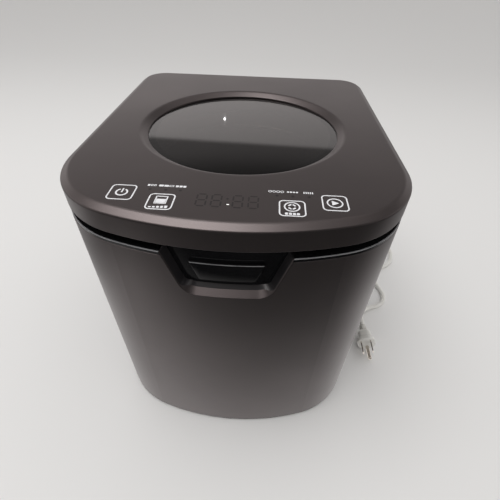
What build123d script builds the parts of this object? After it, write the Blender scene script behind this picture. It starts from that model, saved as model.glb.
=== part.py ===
from build123d import *
import math
import os

# Electric food waste composter, in millimetres. A bucket hangs in a heated chamber under a
# windowed lid, and a stirrer turns in it, driven through a gear pair by a motor below. A fan at
# the back draws the air through a carbon filter, which slides out as a drawer. A push button at
# the front frees the lid. The origin is at the middle of the footprint on the surface that the
# feet stand on, +Z is up, and the front faces -Y.

os.makedirs("parts", exist_ok=True)

# Casing
width = 280
depth = 330
height = 295
front_radius = 275  # bow of the front, in plan
front_corner = 80  # rounding between the bow and the sides
back_corner = 28
shell_wall = 3
seam_chamfer = 0.5
foot_height = 2
foot_radius = 9
foot_sink = 1.5
foot_set_x = 92
foot_set_front = 92
foot_set_back = 128
base_thickness = 3
base_inset = 0.8
deck_thickness = 3
deck_inset = 0.2
deck_edge = 1.2
lid_depth = 20.5
lid_gap = 7

# Screws that hold the casing together
boss_radius = 5
boss_height = 25
boss_set = 4  # boss centre inside the shell's inner face
boss_front = -60
boss_back = 125
screw_radius = 1.5
screw_length = 14
screw_head = 3
head_height = 1.5
screw_fit = 0.1
head_fit = 0.3

# Lid
bevel_width = 6
bevel_height = 3.6
lid_wall = 2.5
lid_skin = 4
glass_radius = 95.3
glass_thickness = 3
glass_drop = 5.6  # glass below the lid's top
window_radius = 90.5
window_slope = 6.3  # width of the sloping ring round the window
window_edge = 0.9
well_wall = 2.5
part_fit = 0.2
seal_width = 10
seal_thickness = 2.4
liner_thickness = 2
liner_fit = 0.3
liner_shelf = 1.5
collar_wall = 3
lid_boss_radius = 4
lid_screw_length = 9
front_boss_x = 105
front_boss_set = 45
side_boss_set = 13
side_boss_y = 20
back_boss_x = 95
back_boss_set = 15

# Controls under the lid
board_half = 88
board_set = 15  # board's front edge behind the body's
board_reach = 14  # its back edge in front of the window's well
board_thickness = 1.6
board_height = 10  # posts that carry the board
post_radius = 3
digit_half = 24
digit_reach = 26  # display's back in front of the window's well
digit_depth = 19
touch_radius = 3.5
touch_outer = 76
touch_inner = 46
touch_outer_reach = 32  # in front of the window's well
touch_inner_reach = 41
post_outer = 80
post_outer_set = 43  # behind the body's front
post_inner = 50
post_inner_set = 20
post_middle_reach = 18

# Lid catch
recess_depth = 8
recess_drop = 40.2  # bottom of the recess below the deck's top
recess_half = 33
recess_lean = 19.5  # degrees off the vertical
recess_corner = 14
rim_wall = 2
bezel_thickness = 2.5
bezel_fit = 0.1
button_half = 21.5
button_height = 17.5
button_drop = 10.5  # button's top edge below the deck's top
button_corner = 3
button_proud = 2.5
button_travel = 3
button_fit = 0.3
flange_width = 2
flange_thickness = 2
slide_half = 11
slide_thickness = 3
slide_rise = 4.5  # slide above the button's lower edge
bolt_half = 7
bolt_thickness = 4
bolt_nose = 2.2
nose_height = 3.5
catch_miss = 0.3  # free gap between the bolt's nose and the keeper's
keeper_half = 7
keeper_thickness = 2.5
keeper_nose = 2.5
keeper_setback = 17.5  # keeper's front behind the body's front
keeper_foot = 4.5
foot_plate = 1.5
slot_margin = 3
guide_wall = 3
spring_reach = 3  # catch guide's end in front of the chamber's rim
spring_radius = 3.6
spring_wire = 0.9
spring_turns = 6

# Hinge
hinge_pin_radius = 1.5
hinge_fit = 0.05
knuckle_radius = 3
hinge_places = 70  # hinge centres either side of the middle
lid_knuckle = 20
body_knuckle = 10
knuckle_gap = 0.3

# Heated chamber and bucket
chamber_radius = 99
chamber_wall = 1.5
chamber_floor = 2
chamber_bottom = 66
chamber_rim = 5
chamber_hole = 14
opening_radius = 100.5
bucket_gap = 1.5
bucket_wall = 1.5
bucket_floor = 2
bucket_lift = 1
bucket_round = 6
bucket_rim = 6.5
handle_radius = 89
handle_wire = 2.4
handle_drop = 13
lug_half = 6
lug_fit = 0.15
vent_hole = 2  # holes in the bucket's back wall, in front of the chamber's port
vent_holes = 7
vent_hole_pitch = 6
heater_gap = 0.1
heater_thickness = 3
heater_bottom = 76
heater_height = 55
heater_split = 10
ear_length = 9
clamp_hole = 2.1
wrap_gap = 0.4
wrap_thickness = 7
wrap_bottom = 72
wrap_drop = 32.5  # top of the insulation below the deck
post_places = 62
chamber_post = 6
sensor_radius = 6
sensor_height = 6

# Stirrer
bush_radius = 12
bush_wall_fit = 0.05
bush_flange = 3
bush_flange_thickness = 2
bush_height = 21
stirrer_shaft = 6
running_fit = 0.05
hub_radius = 17
hub_bottom = 74
hub_height = 40
hub_taper = 5
hub_clearance = 0.5
arm_thickness = 5
arm_width = 18
arm_tilt = 25
low_arm_reach = 89
high_arm_reach = 74
low_arm_rise = 9
high_arm_rise = 27
low_arm_angle = 20
high_arm_angle = 110
socket_radius = 12
socket_depth = 5
socket_floor = 2
hex_flat = 5  # centre to flat
hex_fit = 0.15

# Gear pair and motor
gear_module = 1.5
wheel_teeth = 60
pinion_teeth = 12
gear_backlash = 0.5
tooth_rise = 0.9  # tooth tip and root from the pitch circle, as shares of the module
tooth_sink = 1.25
pressure_angle = 20  # degrees
gear_bottom = 47.5
gear_width = 7
wheel_hub = 12
hub_fit = 0.02
case_wall = 2.5
case_plate = 2.5
case_bottom = 43
case_height = 13
cover_thickness = 2
tip_gap = 1.5
gear_bush_radius = 9
bush_fit = 0.05
lug_x = 42
lug_y = 36
lug_radius = 7
pillar_radius = 5
pillar_screw = 8
motor_radius = 22
motor_height = 34
motor_cap = 6
motor_cap_step = 1
motor_shaft = 2.5
motor_boss = 6

# Exhaust fan
fan_half = 40
fan_depth = 25
fan_bore = 37
fan_gap = 1  # between the fan and the drawer's frame
fan_hub = 14
fan_plate = 3
blade_count = 7
blade_reach = 35.5
blade_thickness = 1.6
blade_chord = 15
blade_pitch = 38  # degrees
strut_width = 4
strut_count = 3
vent_rows = 9
vent_pitch = 7.5
vent_width = 68
vent_height = 3.4

# Filter drawer
drawer_half = 70
drawer_height = 85
drawer_drop = 2.5  # drawer's top below the duct
drawer_clear = 3  # drawer's inner end behind the insulation
drawer_wall = 2
drawer_fit = 0.4
front_margin = 6
front_reveal = 0.5
frame_margin = 5
frame_thickness = 2.5
rail_width = 8
rail_thickness = 2.5
filter_fit = 0.5
filter_drop = 8
filter_corner = 2
grille_slots = 9
grille_pitch = 14
grille_width = 7
grille_border = 3
front_round = 3
pull_half = 25  # finger hole through the drawer's front
pull_height = 24
pull_drop = 18
pull_room = 14  # free depth behind the front, for the fingers

# Air duct
duct_half = 30
duct_set = 4  # duct behind the chamber's wall
duct_drop = 27
duct_wall = 1.5
port_half = 22
port_height = 14
port_drop = 22
neck_wall = 3
neck_gap = 0.5

# Power board
power_half = 50
power_bottom = 40
power_height = 90
power_clear = 1.8  # between the heater's ears and the carrier's foot
carrier_margin = 4
carrier_thickness = 3

# Mains lead
cord_diameter = 6.2
gland_x = 102
gland_z = 20
gland_length = 25
gland_radius = 6.5
gland_end = 4.4
gland_waist = 5.8
gland_flange = 9
gland_flange_thickness = 3
coil_x = 40
coil_y = 224.5
coil_inner = 26.4
coil_outer = 48.6
coil_height = 12.6
coil_round = 3
tie_width = 6
tie_thickness = 0.6
tie_fit = 0.2
plug_x = 179.5
plug_start = 23  # plug's cord end in front of the middle
plug_height = 13.4
plug_roll = 22  # degrees
relief_wall = 0.8  # round the cord at the plug's thin end
relief_length = 12
relief_end = 5.6
relief_corner = 5.5
grip_start = 18
grip_width = 18
grip_height = 20
grip_length = 27
plug_length = 32
plug_face = 24
plug_corner = 8
blade_spacing = 12.7
blade_height = 6.35
prong_thickness = 1.5
prong_length = 16.5
prong_rise = 4.2
prong_hole = 1.6
hole_set = 4  # hole's centre from the blade's tip
ground_radius = 2.4
ground_length = 20.5
ground_drop = 11.9

# Levels
base_bottom = foot_height
base_top = base_bottom + base_thickness
lid_bottom = height - lid_depth
deck_top = lid_bottom - lid_gap
deck_bottom = deck_top - deck_thickness
front = -depth / 2
back = depth / 2
inner_back = back - shell_wall
duct_bottom = deck_bottom - duct_drop
drawer_top = duct_bottom - drawer_drop
drawer_bottom = drawer_top - drawer_height
front_bottom = drawer_bottom - front_margin
front_top = drawer_top + front_margin
fan_height = front_bottom - frame_margin - fan_gap - fan_half
wrap_top = deck_bottom - wrap_drop

# Radii about the chamber's axis
chamber_outer = chamber_radius + chamber_wall
rim_outer = chamber_radius + chamber_rim
band_inner = chamber_outer + heater_gap
band_outer = band_inner + heater_thickness
wrap_inner = band_outer + wrap_gap
wrap_outer = wrap_inner + wrap_thickness
well_radius = glass_radius + part_fit
well_outer = well_radius + well_wall


def footprint(inset=0):
    """Plan of the casing, with straight sides and back and a bowed front, inside its outer face."""
    with BuildSketch() as plan:
        Rectangle(width - 2 * inset, depth - 2 * inset)
        with Locations((0, front + front_radius)):
            Circle(front_radius - inset, mode=Mode.INTERSECT)
        fillet(plan.vertices().group_by(Axis.Y)[0], front_corner - inset)
        fillet(plan.vertices().group_by(Axis.Y)[-1], back_corner - inset)
    return plan.sketch


def disc(radius, bottom, top, hole=0, at=(0, 0), mode=Mode.ADD):
    """Adds or cuts an upright disc, or a ring when it has a hole."""
    with BuildSketch(Plane.XY.offset(bottom)) as profile:
        with Locations(at):
            Circle(radius)
            if hole:
                Circle(hole, mode=Mode.SUBTRACT)
    extrude(profile.sketch, amount=top - bottom, mode=mode)


def cross_disc(radius, start, end, at=(0, 0), hole=0, mode=Mode.ADD):
    """Adds or cuts a disc whose axis runs along Y, centred at the given X and Z."""
    with BuildSketch(Plane.XZ.offset(-end)) as profile:
        with Locations(at):
            Circle(radius)
            if hole:
                Circle(hole, mode=Mode.SUBTRACT)
    extrude(profile.sketch, amount=end - start, mode=mode)


def block(across, along, up, corner=0, mode=Mode.ADD):
    """Adds or cuts a box between two limits on each axis, its upright edges rounded if asked."""
    middle = ((across[0] + across[1]) / 2, (along[0] + along[1]) / 2)
    with BuildSketch(Plane.XY.offset(up[0])) as profile:
        with Locations(middle):
            Rectangle(across[1] - across[0], along[1] - along[0])
        if corner:
            fillet(profile.vertices(), corner)
    extrude(profile.sketch, amount=up[1] - up[0], mode=mode)


def turned(*points, mode=Mode.ADD):
    """Adds or cuts a piece turned about the vertical axis, from points of radius and height."""
    with BuildSketch(Plane.XZ) as profile:
        with BuildLine():
            Polyline(*points, close=True)
        make_face()
    revolve(profile.sketch, axis=Axis.Z, mode=mode)


def trapezoid(bottom_half, bottom, top, corner, margin=0):
    """Front view of the recess or the button, wider at the top, just in front of the body."""
    top_half = bottom_half + (top - bottom) * math.tan(math.radians(recess_lean))
    with BuildSketch(Plane.XZ.offset(depth / 2 + 1)) as profile:
        with BuildLine():
            Polyline(
                (-bottom_half, bottom),
                (bottom_half, bottom),
                (top_half, top),
                (-top_half, top),
                close=True,
            )
        make_face()
        fillet(profile.vertices().group_by(Axis.Y)[0], corner)
        if margin:
            offset(amount=margin, kind=Kind.INTERSECTION)
    return profile.sketch


def screw(head_bottom, direction, at):
    """Adds a pan-head screw at each place, its shank going up (1) or down (-1) from the head."""
    head_top = head_bottom + direction * head_height
    for place in at:
        disc(screw_head, min(head_bottom, head_top), max(head_bottom, head_top), at=place)
        tip = head_top + direction * screw_length
        disc(screw_radius, min(head_top, tip), max(head_top, tip), at=place)


# Feet, base plate and outer shell

boss_x = width / 2 - shell_wall - boss_set
boss_places = [(x, y) for x in (-boss_x, boss_x) for y in (boss_front, boss_back)]
foot_places = [(x, y) for x in (-foot_set_x, foot_set_x) for y in (-foot_set_front, foot_set_back)]

with BuildPart() as foot_pads:
    for place in foot_places:
        disc(foot_radius, 0, foot_height + foot_sink, at=place)
foot_pads.part.label = "foot_pads"
export_step(foot_pads.part, "parts/foot_pads.step")

with BuildPart() as base_plate:
    with BuildSketch(Plane.XY.offset(base_bottom)):
        add(footprint(base_inset))
    extrude(amount=base_thickness)
    for place in foot_places:
        disc(foot_radius + screw_fit, base_bottom, base_bottom + foot_sink, at=place, mode=Mode.SUBTRACT)
    for place in boss_places:
        disc(screw_radius + screw_fit, base_bottom, base_top, at=place, mode=Mode.SUBTRACT)
        counterbore = screw_head + head_fit
        disc(counterbore, base_bottom, base_bottom + head_height, at=place, mode=Mode.SUBTRACT)
base_plate.part.label = "base_plate"
export_step(base_plate.part, "parts/base_plate.step")

with BuildPart() as base_screws:
    screw(base_bottom, 1, boss_places)
base_screws.part.label = "base_screws"
export_step(base_screws.part, "parts/base_screws.step")

bezel_front = recess_depth
bezel_back = recess_depth + bezel_thickness
recess_bottom = deck_top - recess_drop
catch_reach = bezel_back + flange_thickness + recess_corner
recess_top = deck_top + lid_gap / 2

with BuildPart() as latch_rim:
    extrude(trapezoid(recess_half, recess_bottom, recess_top, recess_corner, rim_wall), amount=-catch_reach)
    with BuildSketch(Plane.XY.offset(recess_bottom - rim_wall)):
        add(footprint())
        add(footprint(bezel_back), mode=Mode.SUBTRACT)
    extrude(amount=deck_bottom - recess_bottom + rim_wall, mode=Mode.INTERSECT)

with BuildPart() as latch_recess:
    extrude(trapezoid(recess_half, recess_bottom, recess_top, recess_corner), amount=-catch_reach)
    with BuildSketch(Plane.XY.offset(recess_bottom)):
        add(footprint(bezel_back))
    extrude(amount=recess_top - recess_bottom, mode=Mode.SUBTRACT)

front_half = drawer_half + front_margin
drawer_middle = (front_bottom + front_top) / 2

with BuildPart() as outer_shell:
    with BuildSketch(Plane.XY.offset(base_top)):
        add(footprint())
        add(footprint(shell_wall), mode=Mode.SUBTRACT)
    extrude(amount=deck_bottom - base_top)
    top_rim = outer_shell.faces().sort_by(Axis.Z)[-1].outer_wire().edges()
    chamfer(top_rim, seam_chamfer)
    for place in boss_places:
        disc(boss_radius, base_top, base_top + boss_height, at=place)
        disc(boss_radius, deck_bottom - boss_height, deck_bottom, at=place)
        pilot = screw_radius + screw_fit
        disc(pilot, base_top, base_top + boss_height, at=place, mode=Mode.SUBTRACT)
        disc(pilot, deck_bottom - boss_height, deck_bottom, at=place, mode=Mode.SUBTRACT)
    add(latch_rim.part)
    add(latch_recess.part, mode=Mode.SUBTRACT)
    with BuildSketch(Plane.XZ.offset(-back)):
        with Locations((0, drawer_middle)):
            opening_width = 2 * (front_half + front_reveal)
            RectangleRounded(opening_width, front_top - front_bottom + 2 * front_reveal, back_corner / 10)
        with Locations((0, fan_height)):
            with GridLocations(0, vent_pitch, 1, vent_rows):
                SlotOverall(vent_width, vent_height)
        with Locations((gland_x, gland_z)):
            Circle(gland_waist + screw_fit)
    extrude(amount=shell_wall, mode=Mode.SUBTRACT)
outer_shell.part.label = "outer_shell"
export_step(outer_shell.part, "parts/outer_shell.step")

# Deck

keeper_front = front + keeper_setback
keeper_back = keeper_front + keeper_thickness + keeper_nose

with BuildPart() as top_deck:
    with BuildSketch(Plane.XY.offset(deck_bottom)):
        add(footprint(deck_inset))
        Circle(opening_radius, mode=Mode.SUBTRACT)
    extrude(amount=deck_thickness)
    deck_rim = top_deck.faces().sort_by(Axis.Z)[-1].outer_wire().edges()
    fillet(deck_rim, deck_edge)
    add(latch_recess.part, mode=Mode.SUBTRACT)
    slot_half = keeper_half + slot_margin
    slot_along = (keeper_front - slot_margin, keeper_back + slot_margin)
    block((-slot_half, slot_half), slot_along, (deck_bottom, deck_top), corner=1, mode=Mode.SUBTRACT)
    for place in boss_places:
        disc(screw_radius + screw_fit, deck_bottom, deck_top, at=place, mode=Mode.SUBTRACT)
        disc(screw_head + head_fit, deck_top - head_height, deck_top, at=place, mode=Mode.SUBTRACT)
top_deck.part.label = "top_deck"
export_step(top_deck.part, "parts/top_deck.step")

with BuildPart() as deck_screws:
    screw(deck_top, -1, boss_places)
deck_screws.part.label = "deck_screws"
export_step(deck_screws.part, "parts/deck_screws.step")

# Lid catch: bezel, push button, slide, bolt, spring and guide

button_top = deck_top - button_drop
button_bottom = button_top - button_height
button_front = bezel_front - button_proud

with BuildPart() as latch_bezel:
    extrude(
        trapezoid(recess_half, recess_bottom, recess_top, recess_corner, -bezel_fit),
        amount=-catch_reach,
    )
    with BuildSketch(Plane.XY.offset(recess_bottom)):
        add(footprint(bezel_front))
        add(footprint(bezel_back), mode=Mode.SUBTRACT)
    extrude(amount=recess_drop, mode=Mode.INTERSECT)
    extrude(
        trapezoid(button_half, button_bottom, button_top, button_corner, button_fit),
        amount=-catch_reach,
        mode=Mode.SUBTRACT,
    )
latch_bezel.part.label = "latch_bezel"
export_step(latch_bezel.part, "parts/latch_bezel.step")

flange_front = bezel_back + button_fit
flange_back = flange_front + flange_thickness

with BuildPart() as button_flange:
    extrude(
        trapezoid(button_half, button_bottom, button_top, button_corner, flange_width),
        amount=-catch_reach,
    )
    with BuildSketch(Plane.XY.offset(recess_bottom)):
        add(footprint(flange_front))
        add(footprint(flange_back), mode=Mode.SUBTRACT)
    extrude(amount=recess_drop, mode=Mode.INTERSECT)

with BuildPart() as release_button:
    extrude(trapezoid(button_half, button_bottom, button_top, button_corner), amount=-catch_reach)
    with BuildSketch(Plane.XY.offset(recess_bottom)):
        add(footprint(button_front))
        add(footprint(flange_back), mode=Mode.SUBTRACT)
    extrude(amount=recess_drop, mode=Mode.INTERSECT)
    add(button_flange.part)
    top_edge = release_button.edges().filter_by_position(Axis.Z, button_top - 0.01, button_top + 0.01)
    chamfer(top_edge.sort_by(Axis.Y)[0], button_proud / 3)
release_button.part.label = "release_button"
export_step(release_button.part, "parts/release_button.step")

bolt_front = keeper_back + catch_miss
post_front = bolt_front + bolt_nose
post_back = post_front + bolt_thickness
slide_bottom = button_bottom + slide_rise
slide_top = slide_bottom + slide_thickness
guide_back = -rim_outer - spring_reach
spring_back = guide_back - guide_wall
spring_length = spring_back - post_back
slide_front = front + flange_back
bolt_top = deck_bottom - screw_head / 2
slide_back = spring_back - button_travel - button_fit

with BuildPart() as button_slide:
    block((-slide_half, slide_half), (slide_front, slide_back), (slide_bottom, slide_top))
    with BuildSketch(Plane.XY.offset(slide_bottom)):
        add(footprint(flange_back))
    extrude(amount=slide_thickness, mode=Mode.INTERSECT)
button_slide.part.label = "button_slide"
export_step(button_slide.part, "parts/button_slide.step")

with BuildPart() as latch_bolt:
    block((-bolt_half, bolt_half), (post_front, post_back), (slide_top, bolt_top))
    block((-bolt_half, bolt_half), (bolt_front, post_front), (bolt_top - nose_height, bolt_top))
latch_bolt.part.label = "latch_bolt"
export_step(latch_bolt.part, "parts/latch_bolt.step")

spring_height = slide_top + spring_radius + spring_wire

with BuildPart() as button_spring:
    with BuildLine() as coil_line:
        Helix(
            pitch=(spring_length - 2 * spring_wire) / spring_turns,
            height=spring_length - 2 * spring_wire,
            radius=spring_radius,
            center=(0, post_back + spring_wire, spring_height),
            direction=(0, 1, 0),
        )
    with BuildSketch(Plane(origin=coil_line.line @ 0, z_dir=coil_line.line % 0)):
        Circle(spring_wire / 2)
    sweep(is_frenet=True)
button_spring.part.label = "button_spring"
export_step(button_spring.part, "parts/button_spring.step")

guide_front = front + flange_back + button_travel + flange_thickness + recess_depth / 2
guide_inner = slide_half + button_fit
guide_outer = guide_inner + guide_wall
guide_floor = slide_bottom - button_fit

with BuildPart() as latch_guide:
    guide_along = (guide_front, guide_back)
    block((-guide_outer, guide_outer), guide_along, (guide_floor - guide_wall, deck_bottom))
    block((-guide_inner, guide_inner), (guide_front, spring_back), (guide_floor, deck_bottom), mode=Mode.SUBTRACT)
latch_guide.part.label = "latch_guide"
export_step(latch_guide.part, "parts/latch_guide.step")

# Lid

glass_top = height - glass_drop
glass_bottom = glass_top - glass_thickness
skin_bottom = height - lid_skin
seal_bottom = glass_bottom - seal_thickness
liner_top = lid_bottom + liner_thickness
right_bosses = (
    (front_boss_x, front + front_boss_set),
    (width / 2 - side_boss_set, side_boss_y),
    (back_boss_x, back - back_boss_set),
)
lid_boss_places = [(side * x, y) for side in (-1, 1) for x, y in right_bosses]

with BuildPart() as lid_shell:
    with BuildSketch(Plane.XY.offset(lid_bottom)):
        add(footprint())
    extrude(amount=lid_depth)
    lid_top = lid_shell.faces().sort_by(Axis.Z)[-1]
    chamfer(lid_top.edges(), bevel_width, bevel_height, reference=lid_top)
    with BuildSketch(Plane.XY.offset(lid_bottom)):
        add(footprint(lid_wall))
    extrude(amount=lid_depth - lid_skin, mode=Mode.SUBTRACT)
    disc(well_outer, seal_bottom, skin_bottom)
    disc(well_radius, seal_bottom, glass_top, mode=Mode.SUBTRACT)
    turned(
        (0, glass_top),
        (window_radius, glass_top),
        (window_radius, glass_top + window_edge),
        (window_radius + window_slope, height),
        (0, height),
        mode=Mode.SUBTRACT,
    )
    for place in lid_boss_places:
        disc(lid_boss_radius, liner_top, skin_bottom, hole=screw_radius + screw_fit, at=place)
lid_shell.part.label = "lid_shell"
export_step(lid_shell.part, "parts/lid_shell.step")

with BuildPart() as window_glass:
    disc(glass_radius, glass_bottom, glass_top)
window_glass.part.label = "window_glass"
export_step(window_glass.part, "parts/window_glass.step")

with BuildPart() as window_seal:
    disc(glass_radius, seal_bottom, glass_bottom, hole=glass_radius - seal_width)
window_seal.part.label = "window_seal"
export_step(window_seal.part, "parts/window_seal.step")

collar_radius = glass_radius - seal_width - part_fit
board_bottom = liner_top + board_height
board_top = board_bottom + board_thickness
board_posts = [
    (-post_outer, front + post_outer_set),
    (post_outer, front + post_outer_set),
    (-post_inner, front + post_inner_set),
    (post_inner, front + post_inner_set),
    (0, -well_outer - post_middle_reach),
]

with BuildPart() as lid_liner:
    with BuildSketch(Plane.XY.offset(lid_bottom)):
        add(footprint(lid_wall + liner_fit))
    extrude(amount=liner_thickness)
    disc(collar_radius + collar_wall, liner_top, seal_bottom)
    disc(glass_radius, seal_bottom - liner_shelf, seal_bottom)
    disc(collar_radius, lid_bottom, seal_bottom, mode=Mode.SUBTRACT)
    for place in lid_boss_places:
        disc(screw_radius + screw_fit, lid_bottom, liner_top, at=place, mode=Mode.SUBTRACT)
        disc(screw_head + head_fit, lid_bottom, lid_bottom + head_height, at=place, mode=Mode.SUBTRACT)
    for place in board_posts:
        disc(post_radius, liner_top, board_bottom, at=place)
lid_liner.part.label = "lid_liner"
export_step(lid_liner.part, "parts/lid_liner.step")

with BuildPart() as liner_screws:
    for place in lid_boss_places:
        disc(screw_head, lid_bottom, lid_bottom + head_height, at=place)
        disc(screw_radius, lid_bottom + head_height, lid_bottom + head_height + lid_screw_length, at=place)
liner_screws.part.label = "liner_screws"
export_step(liner_screws.part, "parts/liner_screws.step")

bucket_radius = chamber_radius - bucket_gap
rim_radius = bucket_radius + bucket_rim
rim_top = deck_top + bucket_wall
gasket_bottom = rim_top + button_fit
gasket_base = lid_bottom - 2

with BuildPart() as lid_gasket:
    turned(
        (rim_radius - 5.5, lid_bottom),
        (rim_radius - 5.5, gasket_base),
        (rim_radius - 3, gasket_base),
        (rim_radius - 3, gasket_bottom),
        (rim_radius - 0.5, gasket_bottom),
        (rim_radius - 0.5, gasket_base),
        (rim_radius + 2, gasket_base),
        (rim_radius + 2, lid_bottom),
    )
lid_gasket.part.label = "lid_gasket"
export_step(lid_gasket.part, "parts/lid_gasket.step")

with BuildPart() as display_board:
    board_along = (front + board_set, -well_outer - board_reach)
    block((-board_half, board_half), board_along, (board_bottom, board_top))
    with BuildSketch(Plane.XY.offset(board_bottom)):
        add(footprint(2 * lid_wall))
    extrude(amount=board_thickness, mode=Mode.INTERSECT)
display_board.part.label = "display_board"
export_step(display_board.part, "parts/display_board.step")

with BuildPart() as display_module:
    digit_back = -well_outer - digit_reach
    block((-digit_half, digit_half), (digit_back - digit_depth, digit_back), (board_top, skin_bottom))
display_module.part.label = "display_module"
export_step(display_module.part, "parts/display_module.step")

touch_places = [
    (-touch_outer, -well_outer - touch_outer_reach),
    (-touch_inner, -well_outer - touch_inner_reach),
    (touch_inner, -well_outer - touch_inner_reach),
    (touch_outer, -well_outer - touch_outer_reach),
]

with BuildPart() as touch_pads:
    for place in touch_places:
        disc(touch_radius, board_top, skin_bottom, at=place)
touch_pads.part.label = "touch_pads"
export_step(touch_pads.part, "parts/touch_pads.step")

keeper_bottom = bolt_top - nose_height - nose_height - 2 * button_fit - 1

with BuildPart() as lid_keeper:
    plate_along = (keeper_front, keeper_front + keeper_thickness)
    block((-keeper_half, keeper_half), plate_along, (keeper_bottom, lid_bottom))
    nose_along = (keeper_front + keeper_thickness, keeper_back)
    block((-keeper_half, keeper_half), nose_along, (keeper_bottom, keeper_bottom + nose_height))
    foot_along = (keeper_front - keeper_foot, keeper_front + keeper_thickness + foot_plate)
    foot_half = keeper_half + slot_margin
    block((-foot_half, foot_half), foot_along, (lid_bottom - foot_plate, lid_bottom))
lid_keeper.part.label = "lid_keeper"
export_step(lid_keeper.part, "parts/lid_keeper.step")

# Lid hinge

hinge_y = back - knuckle_radius
hinge_z = deck_top + lid_gap / 2
knuckle_bore = hinge_pin_radius + hinge_fit
half_knuckle = lid_knuckle / 2


def knuckle(start, length, web_end):
    """Adds a hinge knuckle along X, with a web to the face at the given height, and bores it."""
    with BuildSketch(Plane.YZ.offset(start)) as profile:
        with Locations((hinge_y, hinge_z)):
            Circle(knuckle_radius)
        with Locations((hinge_y, (hinge_z + web_end) / 2)):
            Rectangle(2 * knuckle_radius, abs(web_end - hinge_z))
        with Locations((hinge_y, hinge_z)):
            Circle(knuckle_bore, mode=Mode.SUBTRACT)
    extrude(profile.sketch, amount=length)


with BuildPart() as lid_knuckles:
    for centre in (-hinge_places, hinge_places):
        knuckle(centre - half_knuckle, lid_knuckle, lid_bottom)
lid_knuckles.part.label = "lid_knuckles"
export_step(lid_knuckles.part, "parts/lid_knuckles.step")

with BuildPart() as body_knuckles:
    for centre in (-hinge_places, hinge_places):
        knuckle(centre - half_knuckle - knuckle_gap - body_knuckle, body_knuckle, deck_top)
        knuckle(centre + half_knuckle + knuckle_gap, body_knuckle, deck_top)
body_knuckles.part.label = "body_knuckles"
export_step(body_knuckles.part, "parts/body_knuckles.step")

pin_length = lid_knuckle + 2 * (knuckle_gap + body_knuckle)

with BuildPart() as hinge_pins:
    for centre in (-hinge_places, hinge_places):
        with BuildSketch(Plane.YZ.offset(centre - pin_length / 2)):
            with Locations((hinge_y, hinge_z)):
                Circle(hinge_pin_radius)
        extrude(amount=pin_length)
hinge_pins.part.label = "hinge_pins"
export_step(hinge_pins.part, "parts/hinge_pins.step")

# Chamber, its heater and insulation, and what they stand on

floor_top = chamber_bottom + chamber_floor
port_top = deck_bottom - port_drop + port_height

with BuildPart() as chamber:
    turned(
        (chamber_hole, chamber_bottom),
        (chamber_outer, chamber_bottom),
        (chamber_outer, deck_bottom - chamber_floor),
        (rim_outer, deck_bottom - chamber_floor),
        (rim_outer, deck_bottom),
        (chamber_radius, deck_bottom),
        (chamber_radius, floor_top),
        (chamber_hole, floor_top),
    )
    port_up = (port_top - port_height, port_top)
    block((-port_half, port_half), (0, chamber_outer), port_up, mode=Mode.SUBTRACT)
chamber.part.label = "chamber"
export_step(chamber.part, "parts/chamber.step")

band_top = heater_bottom + heater_height
band_middle = (heater_bottom + band_top) / 2
ear_front = -(band_outer + ear_length)
ear_inner = heater_split / 2

with BuildPart() as heater_band:
    disc(band_outer, heater_bottom, band_top, hole=band_inner)
    for side in (-1, 1):
        ear = sorted((side * ear_inner, side * (ear_inner + heater_thickness)))
        block(ear, (ear_front, -band_inner), (band_middle - ear_length, band_middle + ear_length))
    split_along = (ear_front, -band_inner + heater_thickness)
    block((-ear_inner, ear_inner), split_along, (heater_bottom, band_top), mode=Mode.SUBTRACT)
    with BuildSketch(Plane.YZ.offset(-heater_split)):
        with Locations((ear_front + ear_length / 2, band_middle)):
            Circle(clamp_hole)
    extrude(amount=2 * heater_split, mode=Mode.SUBTRACT)
heater_band.part.label = "heater_band"
export_step(heater_band.part, "parts/heater_band.step")

wrap_split = heater_split + 2 * heater_thickness

with BuildPart() as insulation:
    disc(wrap_outer, wrap_bottom, wrap_top, hole=wrap_inner)
    split_along = (-wrap_outer, -wrap_inner + wrap_thickness)
    block((-wrap_split, wrap_split), split_along, (wrap_bottom, wrap_top), mode=Mode.SUBTRACT)
insulation.part.label = "insulation"
export_step(insulation.part, "parts/insulation.step")

with BuildPart() as chamber_posts:
    for x in (-post_places, post_places):
        for y in (-post_places, post_places):
            disc(chamber_post, base_top, chamber_bottom, hole=screw_radius + screw_fit, at=(x, y))
chamber_posts.part.label = "chamber_posts"
export_step(chamber_posts.part, "parts/chamber_posts.step")

with BuildPart() as temperature_sensor:
    sensor_place = (0, -post_places - chamber_post)
    disc(sensor_radius, chamber_bottom - sensor_height, chamber_bottom, at=sensor_place)
temperature_sensor.part.label = "temperature_sensor"
export_step(temperature_sensor.part, "parts/temperature_sensor.step")

# Lift-out bucket with its bail handle

bucket_bottom = floor_top + bucket_lift
bucket_top = bucket_bottom + bucket_floor
bucket_inner = bucket_radius - bucket_wall
handle_z = deck_top - handle_drop
lug_inner = handle_radius + 2 * handle_wire

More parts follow.
